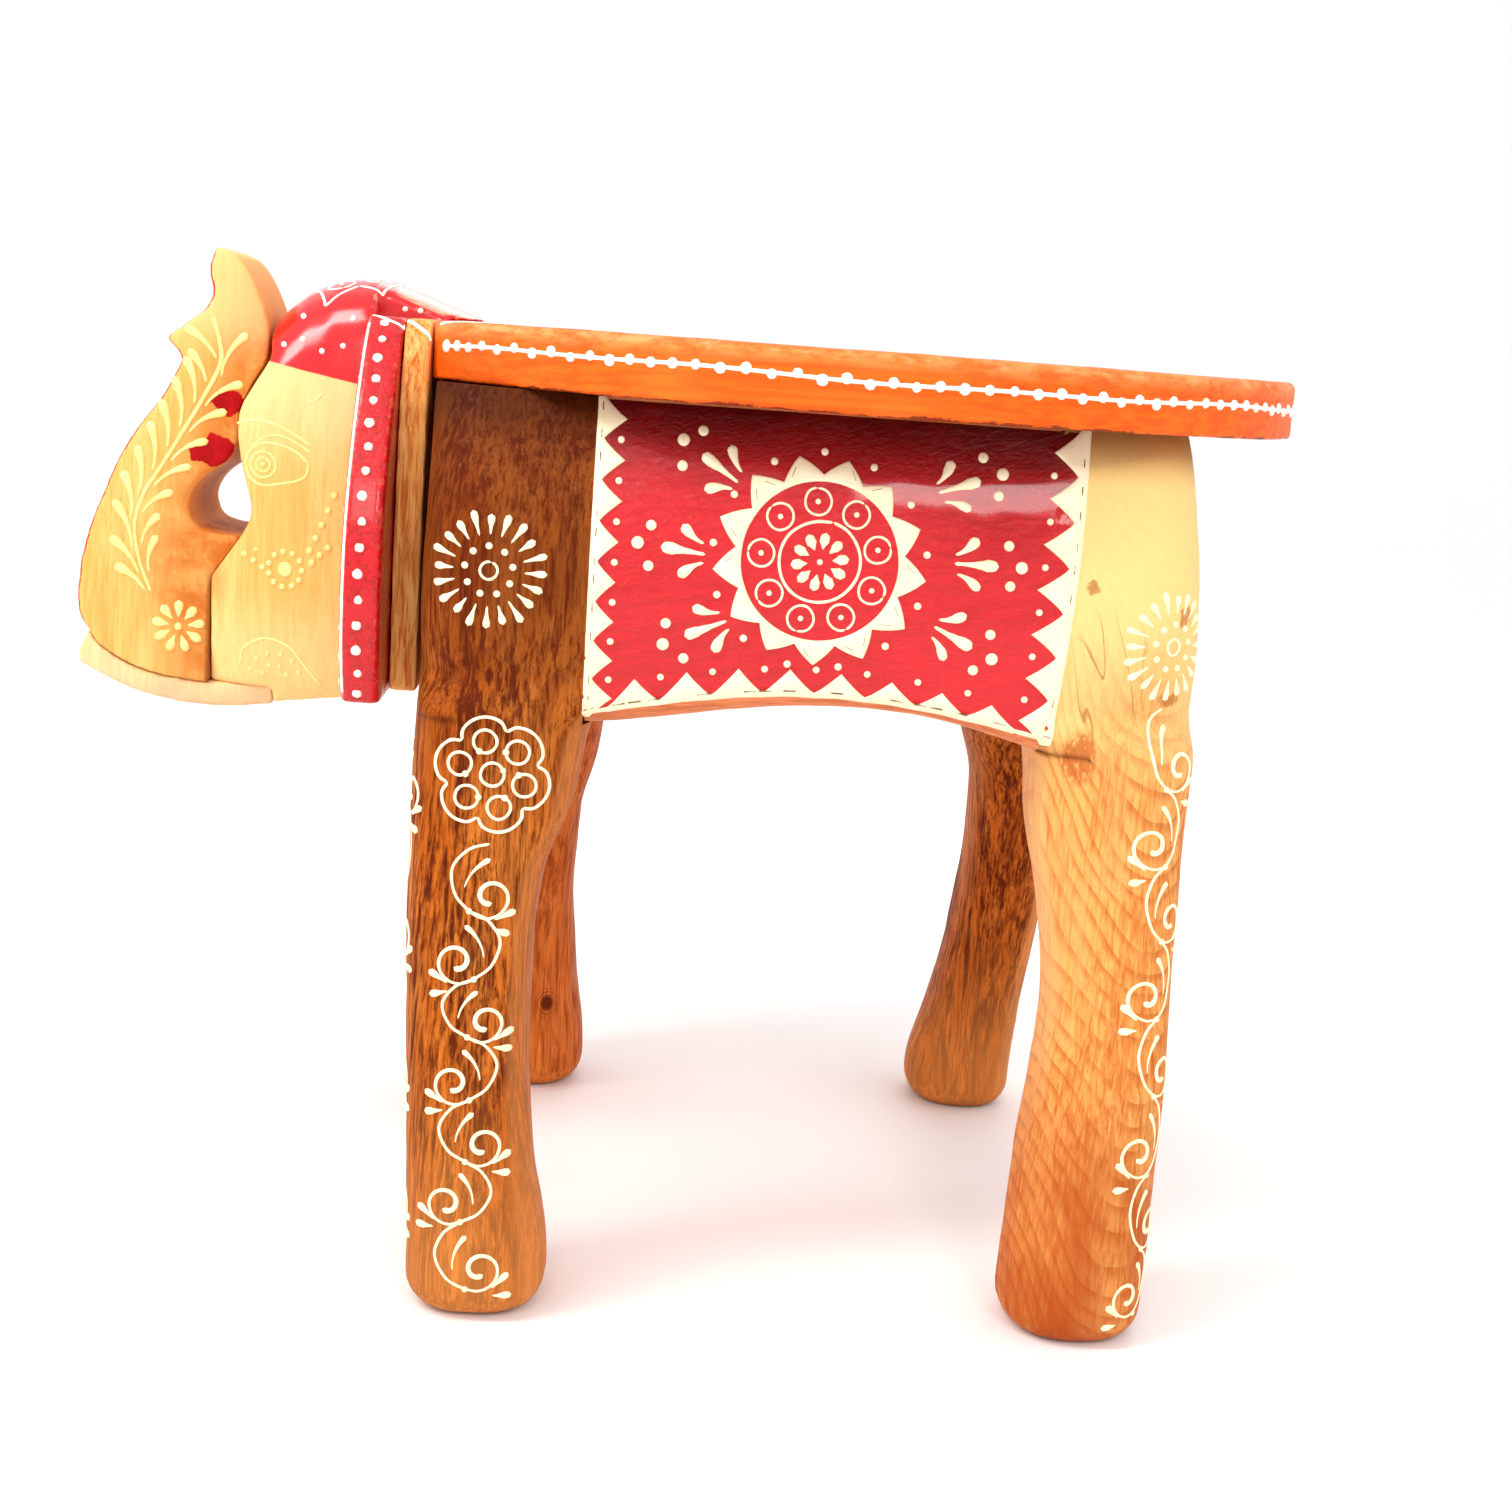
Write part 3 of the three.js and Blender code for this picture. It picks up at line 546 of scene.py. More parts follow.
def nail_steel():
    tree = Tree("nail_steel")
    scratch = tree.noise(tree.mapped((2600, 2600, 90)), 3.0)
    base = tree.mix(scratch, colour(120, 122, 126), colour(176, 178, 182))
    tree.shader.inputs["Metallic"].default_value = 1.0
    return tree.surface(base, tree.span(scratch, 0.3, 0.7, 0.25, 0.5), scratch, 0.02)


# ---- Carved pieces ----

def show_piece(name, mesh, material, slot, stands_for=()):
    """Puts a finished mesh in the scene, riding on the stool."""
    mesh.materials.clear()
    mesh.materials.append(material)
    piece = bpy.data.objects.new(name, mesh)
    bpy.context.scene.collection.objects.link(piece)
    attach(piece, "root")
    if stands_for:
        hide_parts(*stands_for)
    return piece


def mesh_of(name, points, faces, sharp=35):
    """A mesh with its faces turned outwards, smooth up to an edge angle of sharp degrees."""
    mesh = bpy.data.meshes.new(name)
    mesh.from_pydata([Vector(p) * MM for p in points], [], faces)
    work = bmesh.new()
    work.from_mesh(mesh)
    bmesh.ops.recalc_face_normals(work, faces=work.faces)
    work.to_mesh(mesh)
    work.free()
    smooth(mesh, sharp)
    return mesh


def smooth(mesh, sharp):
    mesh.polygons.foreach_set("use_smooth", [True] * len(mesh.polygons))
    mesh.set_sharp_from_angle(angle=math.radians(sharp))
    mesh.update()


def arrays(mesh):
    """Vertex places in millimetres and vertex normals, as tables."""
    places = np.empty(len(mesh.vertices) * 3)
    normals = np.empty(len(mesh.vertices) * 3)
    mesh.vertices.foreach_get("co", places)
    mesh.vertex_normals.foreach_get("vector", normals)
    return places.reshape(-1, 3) / MM, normals.reshape(-1, 3)


def carve(mesh, broad, fine, floor=None):
    """Pushes the surface in and out a little, as hand tools leave it. Places at the floor stay."""
    places, normals = arrays(mesh)
    for i, (place, normal) in enumerate(zip(places, normals)):
        if floor is not None and place[2] < floor:
            continue
        point = Vector(place)
        push = broad * noise.noise(point / 31) + fine * noise.noise(point / 8.5)
        places[i] = place + normal * push
    mesh.vertices.foreach_set("co", (places * MM).ravel())
    mesh.update()


def mark_worn_edges(mesh, reach=3, strength=6.0):
    """Stores how far each place stands out from its surroundings: worn edges are near 1."""
    places, normals = arrays(mesh)
    edges = np.empty(len(mesh.edges) * 2, dtype=np.int64)
    mesh.edges.foreach_get("vertices", edges)
    first, second = edges.reshape(-1, 2).T
    count = np.bincount(np.concatenate([first, second]), minlength=len(places)).astype(float)[:, None]

    def around(values):
        total = np.zeros_like(values)
        np.add.at(total, first, values[second])
        np.add.at(total, second, values[first])
        return total / np.maximum(count, 1)

    mean = places
    for _ in range(reach):
        mean = around(mean)
    out = ((places - mean) * normals).sum(axis=1)
    worn = np.clip(out * strength, 0, 1)
    attribute = mesh.attributes.new("worn", "FLOAT", "POINT")
    attribute.data.foreach_set("value", worn.astype(np.float32))


def skin(rings):
    """Faces of a closed tube through rings of equal length, with flat ends."""
    count = len(rings[0])
    faces = []
    for level in range(len(rings) - 1):
        low, high = level * count, (level + 1) * count
        for i in range(count):
            j = (i + 1) % count
            faces.append((low + i, low + j, high + j, high + i))
    faces.append(tuple(range(count))[::-1])
    faces.append(tuple((len(rings) - 1) * count + i for i in range(count)))
    points = [point for ring in rings for point in ring]
    return points, faces


def smooth_row(rows, where):
    """The other values of a table at a value of its first column, on a smooth curve without overshoot."""
    index = max(i for i in range(len(rows) - 1) if i == 0 or rows[i][0] <= where)
    width = rows[index + 1][0] - rows[index][0]
    share = min(max((where - rows[index][0]) / width, 0), 1)

    def slope(i, column):
        if i <= 0 or i >= len(rows) - 1:
            return 0.0
        before = (rows[i][column] - rows[i - 1][column]) / (rows[i][0] - rows[i - 1][0])
        after = (rows[i + 1][column] - rows[i][column]) / (rows[i + 1][0] - rows[i][0])
        return 0.0 if before * after <= 0 else 2 * before * after / (before + after)

    values = []
    for column in range(1, len(rows[0])):
        start, end = rows[index][column], rows[index + 1][column]
        first, last = slope(index, column) * width, slope(index + 1, column) * width
        squared, cubed = share ** 2, share ** 3
        values.append(
            start * (2 * cubed - 3 * squared + 1) + first * (cubed - 2 * squared + share)
            + end * (3 * squared - 2 * cubed) + last * (cubed - squared)
        )
    return values


def body_half_width(height):
    return BODY_HALF_WIDTH - BODY_CURVE * (height - BODY_WIDEST_Z) ** 2


def squareness_rows(name):
    return FRONT_SQUARENESS if "front" in name else REAR_SQUARENESS


def shoulder_section(name, height):
    """A leg's section where it is part of the body: front, rear, outer and inner faces, and squareness."""
    outer = body_half_width(height)
    joint = (TORSO_FRONT_X if "front" in name else TORSO_REAR_X) - DRAWING_TO_FRAME
    squareness = squareness_rows(name)[-1][1]
    if "front" in name:
        edges = (SHOULDER_FRONT_X, 2 * joint - SHOULDER_FRONT_X)
    else:
        rump = RUMP_REAR_X - RUMP_CURVE * (height - BELLY_BOTTOM) ** 2
        edges = (2 * joint - rump, rump)
    return (*edges, outer, outer - SHOULDER_DEPTH, squareness)


def leg_rows(name):
    """Sections of a leg: height, front, rear, outer and inner faces, and squareness."""
    rows = []
    for height, front, rear in LEG_OUTLINES[name]:
        outer = smooth_row(LEG_OUTER_FACE, height)[0]
        inner = smooth_row(LEG_INNER_FACE, height)[0]
        squareness = smooth_row(squareness_rows(name), height)[0]
        rows.append((height, front, rear, outer, inner, squareness))
    rows.append((SHOULDER_Z, *shoulder_section(name, SHOULDER_Z)))
    return rows


def leg_mesh(name):
    """A leg, with its upper end cut away where the torso block fills the space."""
    rows = leg_rows(name)
    side = -1 if name.endswith("left") else 1
    joint = BELLY_BOTTOM - GAP
    levels = [FOOT_ROUND * (1 - math.cos(math.radians(15 * i))) for i in range(6)]
    levels += [FOOT_ROUND + (joint - FOOT_ROUND) * i / LEG_LEVELS for i in range(LEG_LEVELS)]
    levels += [joint, joint + 0.01]
    top = SEAT_UNDERSIDE - GAP
    levels += [joint + (top - joint) * i / SHOULDER_LEVELS for i in range(1, SHOULDER_LEVELS + 1)]
    rings = []
    for level in levels:
        section = smooth_row(rows, level) if level < SHOULDER_Z else shoulder_section(name, level)
        front, rear, outer, inner, squareness = section
        dip = max(0.0, 1 - level / FOOT_ROUND)
        inset = FOOT_ROUND * (1 - math.sqrt(1 - dip ** 2))
        middle = (front + rear) / 2 + DRAWING_TO_FRAME
        half_long = (rear - front) / 2 - inset
        half_wide = (outer - inner) / 2 - inset
        ring = []
        for i in range(LEG_STEPS):
            angle = 2 * math.pi * i / LEG_STEPS
            across, along = math.sin(angle), math.cos(angle)
            x = middle + math.copysign(abs(along) ** (2 / squareness), along) * half_long
            y = (outer + inner) / 2 + math.copysign(abs(across) ** (2 / squareness), across) * half_wide
            if level > joint:
                y = max(y, CORE_HALF_WIDTH + GAP)
                x = min(x, TORSO_FRONT_X - GAP) if "front" in name else max(x, TORSO_REAR_X + GAP)
            ring.append((x, side * y, level))
        rings.append(ring)
    mesh = mesh_of(name + "_carved", *skin(rings), sharp=50)
    carve(mesh, 0.7, 0.16, floor=1)
    return mesh


def belly_bottom(x):
    share = (x - TORSO_FRONT_X) / (TORSO_REAR_X - TORSO_FRONT_X)
    return BELLY_BOTTOM + BELLY_ARCH * math.sin(math.pi * min(max(share, 0), 1) ** 1.25)


def torso_ring(x, bottom, edge_round, half_width):
    """One cross-section of the torso, down its left side, along the belly and up its right side."""
    top = SEAT_UNDERSIDE - GAP
    half = []
    for i in range(26):
        height = blend(top, bottom + edge_round, i / 25)
        half.append((half_width(height), height))
    low = half_width(bottom + edge_round)
    for i in range(1, 9):
        angle = math.radians(90 * i / 8)
        half.append((low - edge_round * (1 - math.cos(angle)), bottom + edge_round * (1 - math.sin(angle))))
    flat = low - edge_round
    for i in range(1, 6):
        half.append((flat * (1 - i / 6), bottom))
    left = [(x, -y, z) for y, z in half]
    right = [(x, y, z) for y, z in reversed(half)]
    return left + [(x, 0, bottom)] + right


def torso_mesh():
    """The full-width middle of the torso and the narrow core that runs between each pair of legs."""
    points, faces = [], []

    def add(start, end, steps, bottom, edge_round, half_width):
        stations = [blend(start, end, i / steps) for i in range(steps + 1)]
        rings = [torso_ring(x, bottom(x), edge_round, half_width) for x in stations]
        more_points, more_faces = skin(rings)
        faces.extend([tuple(i + len(points) for i in face) for face in more_faces])
        points.extend(more_points)

    add(TORSO_FRONT_X, TORSO_REAR_X, 70, belly_bottom, BELLY_EDGE_ROUND, body_half_width)
    for start, end in ((SEAT_FRONT_X, TORSO_FRONT_X), (TORSO_REAR_X, CORE_REAR_X)):
        add(start, end, 24, lambda x: BELLY_BOTTOM, 3, lambda z: CORE_HALF_WIDTH)
    mesh = mesh_of("torso_carved", points, faces, sharp=50)
    carve(mesh, 0.35, 0.12)
    mark_worn_edges(mesh, 4, 2.0)
    return mesh


def seat_outline(share):
    """A place on the seat's edge and the way out from it. share runs from 0 to 1 round the oval."""
    cut = math.acos((SEAT_FRONT_X - SEAT_CENTRE_X) / SEAT_HALF_LENGTH)
    angle = blend(-cut, cut, share)
    place = Vector((SEAT_CENTRE_X + SEAT_HALF_LENGTH * math.cos(angle), SEAT_HALF_WIDTH * math.sin(angle)))
    out = Vector((math.cos(angle) / SEAT_HALF_LENGTH, math.sin(angle) / SEAT_HALF_WIDTH)).normalized()
    return place, out


def seat_mesh():
    """The oval board, with rounded and slightly uneven edges."""
    outline = [seat_outline(i / 320) for i in range(321)]
    start, end = outline[0][0], outline[-1][0]
    for i in range(1, 60):
        outline.append((end.lerp(start, i / 60), Vector((-1, 0))))
    centre = Vector((SEAT_CENTRE_X, 0))
    top_round, bottom_round = 2.4, 1.1
    # Share of the way from the middle to the edge, inset from the edge, height.
    steps = [(share, 0, SEAT_UNDERSIDE) for share in (0.02, 0.3, 0.6, 0.85)]
    for i in range(4):
        angle = math.radians(30 * i)
        height = SEAT_UNDERSIDE + bottom_round * (1 - math.cos(angle))
        steps.append((1, bottom_round * (1 - math.sin(angle)), height))
    for i in range(1, 9):
        steps.append((1, 0, blend(SEAT_UNDERSIDE + bottom_round, SEAT_TOP - top_round, i / 9)))
    for i in range(7):
        angle = math.radians(15 * i)
        steps.append((1, top_round * (1 - math.cos(angle)), SEAT_TOP - top_round * (1 - math.sin(angle))))
    steps += [(share, top_round, SEAT_TOP) for share in (0.985, 0.96, 0.9, 0.8, 0.65, 0.45, 0.25, 0.02)]
    rings = []
    for share, inset, height in steps:
        ring = []
        for place, out in outline:
            point = centre + (place - centre) * share - out * inset * min(1, share)
            ring.append((point.x, point.y, height))
        rings.append(ring)
    mesh = mesh_of("seat_carved", *skin(rings), sharp=50)
    carve(mesh, 0.18, 0.14)
    mark_worn_edges(mesh, 2, 5.0)
    return mesh


surfaces = {}


def surface_of(hosts):
    """A search tree over pieces, in millimetres."""
    key = tuple(sorted(piece.name for piece in hosts))
    if key not in surfaces:
        points, faces = [], []
        for piece in hosts:
            base = len(points)
            points.extend([vertex.co / MM for vertex in piece.data.vertices])
            faces.extend([tuple(i + base for i in polygon.vertices) for polygon in piece.data.polygons])
        surfaces[key] = BVHTree.FromPolygons(points, faces)
    return surfaces[key]


def softened(node, neighbours, grid=1.2, passes=8, broad=0.35, fine=0.12, worn=4.0):
    """A CAD solid with its edges worn round and its facets worn away, but crisp by its neighbours."""
    copy = bpy.data.objects.new(node + "_work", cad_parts[node].data.copy())
    bpy.context.scene.collection.objects.link(copy)
    remesh = copy.modifiers.new("even_grid", "REMESH")
    remesh.mode = "VOXEL"
    remesh.voxel_size = grid * MM
    rub = copy.modifiers.new("rub", "SMOOTH")
    rub.factor = 0.5

    def result(iterations):
        rub.iterations = iterations
        graph = bpy.context.evaluated_depsgraph_get()
        graph.update()
        return bpy.data.meshes.new_from_object(copy.evaluated_get(graph))

    crisp, mesh = result(1), result(passes)
    bpy.data.objects.remove(copy)
    mesh.name = node + "_carved"
    crisp_places, _ = arrays(crisp)
    places, _ = arrays(mesh)
    beside = surface_of([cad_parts[name] for name in neighbours])
    crisp_reach = 4.0
    for i, place in enumerate(crisp_places):
        near = beside.find_nearest(Vector(place), crisp_reach)[3]
        if near is not None:
            places[i] = blend(place, places[i], min(near / crisp_reach, 1) ** 2)
    bpy.data.meshes.remove(crisp)
    mesh.vertices.foreach_set("co", (places * MM).ravel())
    smooth(mesh, 50)
    carve(mesh, broad, fine)
    mark_worn_edges(mesh, 4, worn)
    return mesh


# ---- Raised paint ----

def curve_through(points, step=0.7):
    """Even places along a smooth curve through points."""
    ends = [points[0] * 2 - points[1]] + list(points) + [points[-1] * 2 - points[-2]]
    dense = []
    for i in range(1, len(ends) - 2):
        a, b, c, d = ends[i - 1:i + 3]
        for k in range(12):
            t = k / 12
            dense.append(0.5 * (2 * b + (c - a) * t + (2 * a - 5 * b + 4 * c - d) * t * t
                                + (3 * b - a - 3 * c + d) * t ** 3))
    dense.append(points[-1].copy())
    reach = [0.0]
    for before, after in zip(dense, dense[1:]):
        reach.append(reach[-1] + (after - before).length)
    total = reach[-1]
    count = max(2, round(total / step))
    result, k = [], 0
    for i in range(count + 1):
        goal = total * i / count
        while k < len(reach) - 2 and reach[k + 1] < goal:
            k += 1
        length = reach[k + 1] - reach[k]
        result.append(dense[k].lerp(dense[k + 1], (goal - reach[k]) / length if length else 0))
    return result, total


class Paint:
    """Raised paint on carved pieces. Shapes are drawn flat, then laid on the surface by a sheet.

    A sheet is a function of a flat place (u, v) that gives a start and a direction in the frame:
    the paint lies where the line from there meets the surface."""

    def __init__(self, hosts, sheet, height=0.75):
        self.surface = surface_of(hosts)
        self.sheet = sheet
        self.height = height
        self.points = []
        self.faces = []

    def lift(self, flat, height):
        start, direction = self.sheet(flat[0], flat[1])
        place, normal, _, depth = self.surface.ray_cast(start, direction)
        if place is None:
            return None
        _, beside_normal, _, beside_depth = self.surface.ray_cast(*self.sheet(flat[0] + 0.6, flat[1]))
        if beside_depth is not None and 1 < depth - beside_depth < 100:
            # The line has gone into the hairline joint between two pieces, which the paint bridges.
            place, normal = start + direction * beside_depth, beside_normal
        if normal.dot(direction) > 0:
            normal = -normal
        return place + normal * height

    def grid(self, rows, closed=False):
        """Faces between rows of (flat place, height). Rows that miss the surface end the shape."""
        lifted = [[self.lift(flat, height) for flat, height in row] for row in rows]
        base = len(self.points)
        width = len(rows[0])
        keep = [all(p is not None for p in row) for row in lifted]
        for row in lifted:
            self.points.extend([p if p is not None else Vector() for p in row])
        pairs = len(rows) if closed else len(rows) - 1
        for i in range(pairs):
            j = (i + 1) % len(rows)
            if not (keep[i] and keep[j]):
                continue
            low, high = base + i * width, base + j * width
            for k in range(width - 1):
                self.faces.append((low + k, low + k + 1, high + k + 1, high + k))

    def stroke(self, points, half_width=0.45, closed=False):
        """A line of paint. half_width is a number or a function of the share of the way along."""
        places, total = curve_through([Vector(p) for p in points])
        width_at = half_width if callable(half_width) else lambda share: half_width
        half = [(1, -0.25), (0.93, 0.35), (0.62, 0.82)]
        profile = [(-t, h) for t, h in half] + [(0, 1)] + half[::-1]
        rows = []
        last = len(places) - 1
        shake = random.random() * 50
        for i, place in enumerate(places):
            before, after = places[max(i - 1, 0)], places[min(i + 1, last)]
            along = (after - before).normalized()
            across = Vector((-along.y, along.x))
            unevenness = noise.noise(Vector((total * i / last * 0.45, shake, 0)))
            width = width_at(i / last) * (1 + 0.16 * unevenness)
            if not closed:
                to_end = min(i, last - i) * total / last
                if to_end < width:
                    width *= math.sqrt(max(1 - ((width - to_end) / width) ** 2, 0.004))
            rise = min(self.height, width * 0.62)
            rows.append([(place + across * width * t, rise * h) for t, h in profile])
        self.grid(rows, closed)

    def teardrop(self, head, tail, radius=1.7, bend=0.0):
        """A drop pulled out into a tail, with an optional sideways bend."""
        head, tail = Vector(head), Vector(tail)
        along = tail - head
        start = head - along.normalized() * radius
        pull = (head + tail) / 2 + Vector((-along.y, along.x)) * bend * 2
        share = radius * 2 / (along.length + radius)
        slim = 0.3

        def width(part):
            if part < share:
                return radius
            left = (1 - part) / (1 - share)
            return radius * (slim + (1 - slim) * left ** 2.2)

        shares = [i / 5 for i in range(6)]
        self.stroke([start.lerp(pull, t).lerp(pull.lerp(tail, t), t) for t in shares], width)

    def dot(self, centre, radius):
        """A low round dome."""
        centre = Vector(centre)
        rise = min(self.height, radius * 0.6)
        profile = [(1, -0.25), (0.94, 0.4), (0.75, 0.8), (0.4, 1), (0.05, 1)]
        rows = []
        for i in range(DOT_STEPS):
            way = way_at(2 * math.pi * i / DOT_STEPS)
            rows.append([(centre + way * radius * share, rise * level) for share, level in profile])
        self.grid(rows, closed=True)

    def ring(self, centre, radius, half_width=0.4, start=1.3, blob=0.0):
        """A circle drawn in one go, with an optional thick start."""
        centre = Vector(centre)
        points = []
        for i in range(17):
            angle = start + 2 * math.pi * i / 16
            reach = radius * (1 + 0.05 * noise.noise(Vector((angle, centre.x, centre.y))))
            points.append(centre + way_at(angle) * reach)
        self.stroke(points, half_width)
        if blob:
            self.dot(points[0], blob)

    def band(self, first, second, closed=False):
        """A filled strip between two edges with the same number of places."""
        levels = [(0, -0.25), (0.04, 0.7), (0.14, 1), (0.5, 1), (0.86, 1), (0.96, 0.7), (1, -0.25)]
        rows = []
        for a, b in zip(first, second):
            a, b = Vector(a), Vector(b)
            rows.append([(a.lerp(b, share), self.height * level) for share, level in levels])
        self.grid(rows, closed)

    def show(self, name, material, slot="cream_paint"):
        mesh = mesh_of(name, self.points, self.faces, sharp=80)
        return show_piece(name, mesh, material, slot)


def side_sheet(side, turn=0.0, pivot=(0, 0)):
    """Flat places are (x, z), seen from one side. turn swings the view round the pivot (x, y)."""
    angle = math.radians(turn)

    def sheet(u, v):
        direction = Vector((-math.sin(angle), -side * math.cos(angle), 0))
        across = Vector((math.cos(angle), -side * math.sin(angle), 0))
        middle = Vector((pivot[0], side * pivot[1], v))
        return middle + across * (u - pivot[0]) - direction * START_BESIDE, direction
    return sheet


def front_sheet(side):
    """Flat places are (distance from the middle plane, z), seen from the front."""
    def sheet(u, v):
        return Vector((-START_AHEAD, side * u, v)), Vector((1, 0, 0))
    return sheet


def top_sheet(side):
    """Flat places are (x, distance from the middle plane), seen from above."""
    def sheet(u, v):
        return Vector((u, side * v, START_ABOVE)), Vector((0, 0, -1))
    return sheet


def seat_edge_sheet():
    """Flat places are (length along the oval edge from the front left corner, z)."""
    places = [seat_outline(i / 2000) for i in range(2001)]
    reach = [0.0]
    for (before, _), (after, _) in zip(places, places[1:]):
        reach.append(reach[-1] + (after - before).length)

    def sheet(u, v):
        index = int(np.searchsorted(reach, min(max(u, 0), reach[-1] - 1e-3)))
        place, out = places[index]
        return Vector((*(place + out * 30), v)), Vector((*-out, 0))
    return sheet, reach[-1]


def ear_rim_sheet(side):
    """Flat places are (x, length down the ear's rim from its top)."""
    line, total = curve_through([Vector(p) for p in EAR_SIDE], 0.5)

    def sheet(u, v):
        index = min(max(int(v / total * (len(line) - 1)), 1), len(line) - 2)
        along = (line[index + 1] - line[index - 1]).normalized()
        out = Vector((-along.y, along.x))
        place = line[index] + out * 25
        return Vector((u, side * place.x, place.y)), Vector((0, -side * out.x, -out.y))
    return sheet, total


# ---- Painted motifs ----

def sunburst(paint, centre, size=18.0, rays=20):
    """A ring with dots round it and a wreath of drops."""
    centre = Vector(centre)
    paint.ring(centre, size * 0.145, 0.42)
    for i in range(9):
        angle = 2 * math.pi * (i + 0.3) / 9
        paint.dot(centre + way_at(angle) * size * 0.4, size * 0.06)
    for i in range(rays):
        angle = 2 * math.pi * i / rays
        way = way_at(angle)
        reach = size * (0.95 + 0.05 * math.sin(i * 2.3))
        paint.teardrop(centre + way * reach * 0.94, centre + way * size * 0.58, size * 0.062)


def daisy(paint, centre, size, petals, middle, inner=0.42, thick=0.2):
    centre = Vector(centre)
    paint.dot(centre, middle)
    for i in range(petals):
        angle = 2 * math.pi * (i + 0.25) / petals
        way = way_at(angle)
        paint.teardrop(centre + way * size * 0.82, centre + way * size * inner, size * thick)


def lobed_flower(paint, centre, size=17.5):
    """A six-lobed outline round seven small rings."""
    centre = Vector(centre)
    tilt = 0.25
    for lobe in range(6):
        points = []
        for i in range(9):
            angle = tilt + 2 * math.pi * (lobe + i / 8) / 6
            bulge = math.sin(math.pi * i / 8) ** 0.6
            reach = size * (0.77 + 0.23 * bulge)
            points.append(centre + way_at(angle) * reach)
        paint.stroke(points, 0.5)
    paint.ring(centre, size * 0.2, 0.48, 0.4, 0.9)
    for lobe in range(6):
        angle = tilt + 2 * math.pi * (lobe + 0.5) / 6
        spot = centre + way_at(angle) * size * 0.58
        paint.ring(spot, size * 0.2, 0.48, angle + 2.4, 1.05)


def vine(paint, path, bulge=9.0, scale=1.0):
    """A scrolling vine down a list of joints. Each length bows out, and a curl turns back from its end."""
    for i, (start, end) in enumerate(zip(path, path[1:])):
        side = -1 if i % 2 == 0 else 1
        start, end = Vector(start), Vector(end)
        down = end - start
        across = Vector((-down.y, down.x)).normalized() * -side

        def spot(out, share):
            return start + down * share - across * out * scale

        bow = ((0, 0), (0.6, 0.16), (0.95, 0.48), (0.62, 0.82), (0, 1))
        paint.stroke([spot(bulge * out, share) for out, share in bow], 0.46)
        paint.dot(end, 1.0)
        centre = spot(-4.8, 0.72)
        away = (spot(-1, 0) - spot(0, 0)).normalized()
        first = math.atan2((end - centre).dot(away), (end - centre).dot(down.normalized()))
        curl = []
        for k in range(15):
            turn = first + k / 14 * math.radians(430)
            reach = blend((end - centre).length, 1.9 * scale, (k / 14) ** 0.8)
            curl.append(centre + (down.normalized() * math.cos(turn) + away * math.sin(turn)) * reach)
        paint.stroke(curl, lambda share: 0.42 + 0.5 * share ** 2)
        paint.teardrop(spot(-1.2, 0.24), spot(3.4, 0.7), 0.85, 0.12 * side)
        for head, tail in (((-12.4, 0.86), (-8.0, 1.02)), ((-12.6, 1.17), (-8.0, 1.14))):
            paint.teardrop(spot(*head), spot(*tail), 1.15)


def spray(paint, centre, aim, size=1.0):
    """Three drops that run together towards aim, and three dots behind them."""
    centre = Vector(centre)
    way = (Vector(aim) - centre).normalized()
    across = Vector((-way.y, way.x))

    def spot(forward, sideways):
        return centre + (way * forward + across * sideways) * size

    paint.teardrop(spot(-1, 0.3), spot(10.5, -0.5), 1.75 * size)
    paint.teardrop(spot(4.2, 6.6), spot(9.8, 2.6), 1.5 * size, -0.1)
    paint.teardrop(spot(4.6, -6.9), spot(10.2, -3.0), 1.6 * size, 0.1)
    for forward, sideways, radius in ((-6.2, 6.2, 1.6), (-9.6, 0.8, 1.9), (-5.8, -5.6, 1.6)):
        paint.dot(spot(forward, sideways), radius * size)


def saddle_edges():
    """The saddle's corners and its lower edge, which follows the arch of the belly."""
    left_top, left_low = Vector((-31.2, 281)), Vector((-30.6, 187))
    right_top, right_low = Vector((116.3, 281)), Vector((111.2, 187.5))

    def lower(share):
        place = left_low.lerp(right_low, share)
        return Vector((place.x, place.y + BELLY_ARCH * math.sin(math.pi * share)))
    return left_top, left_low, right_top, right_low, lower


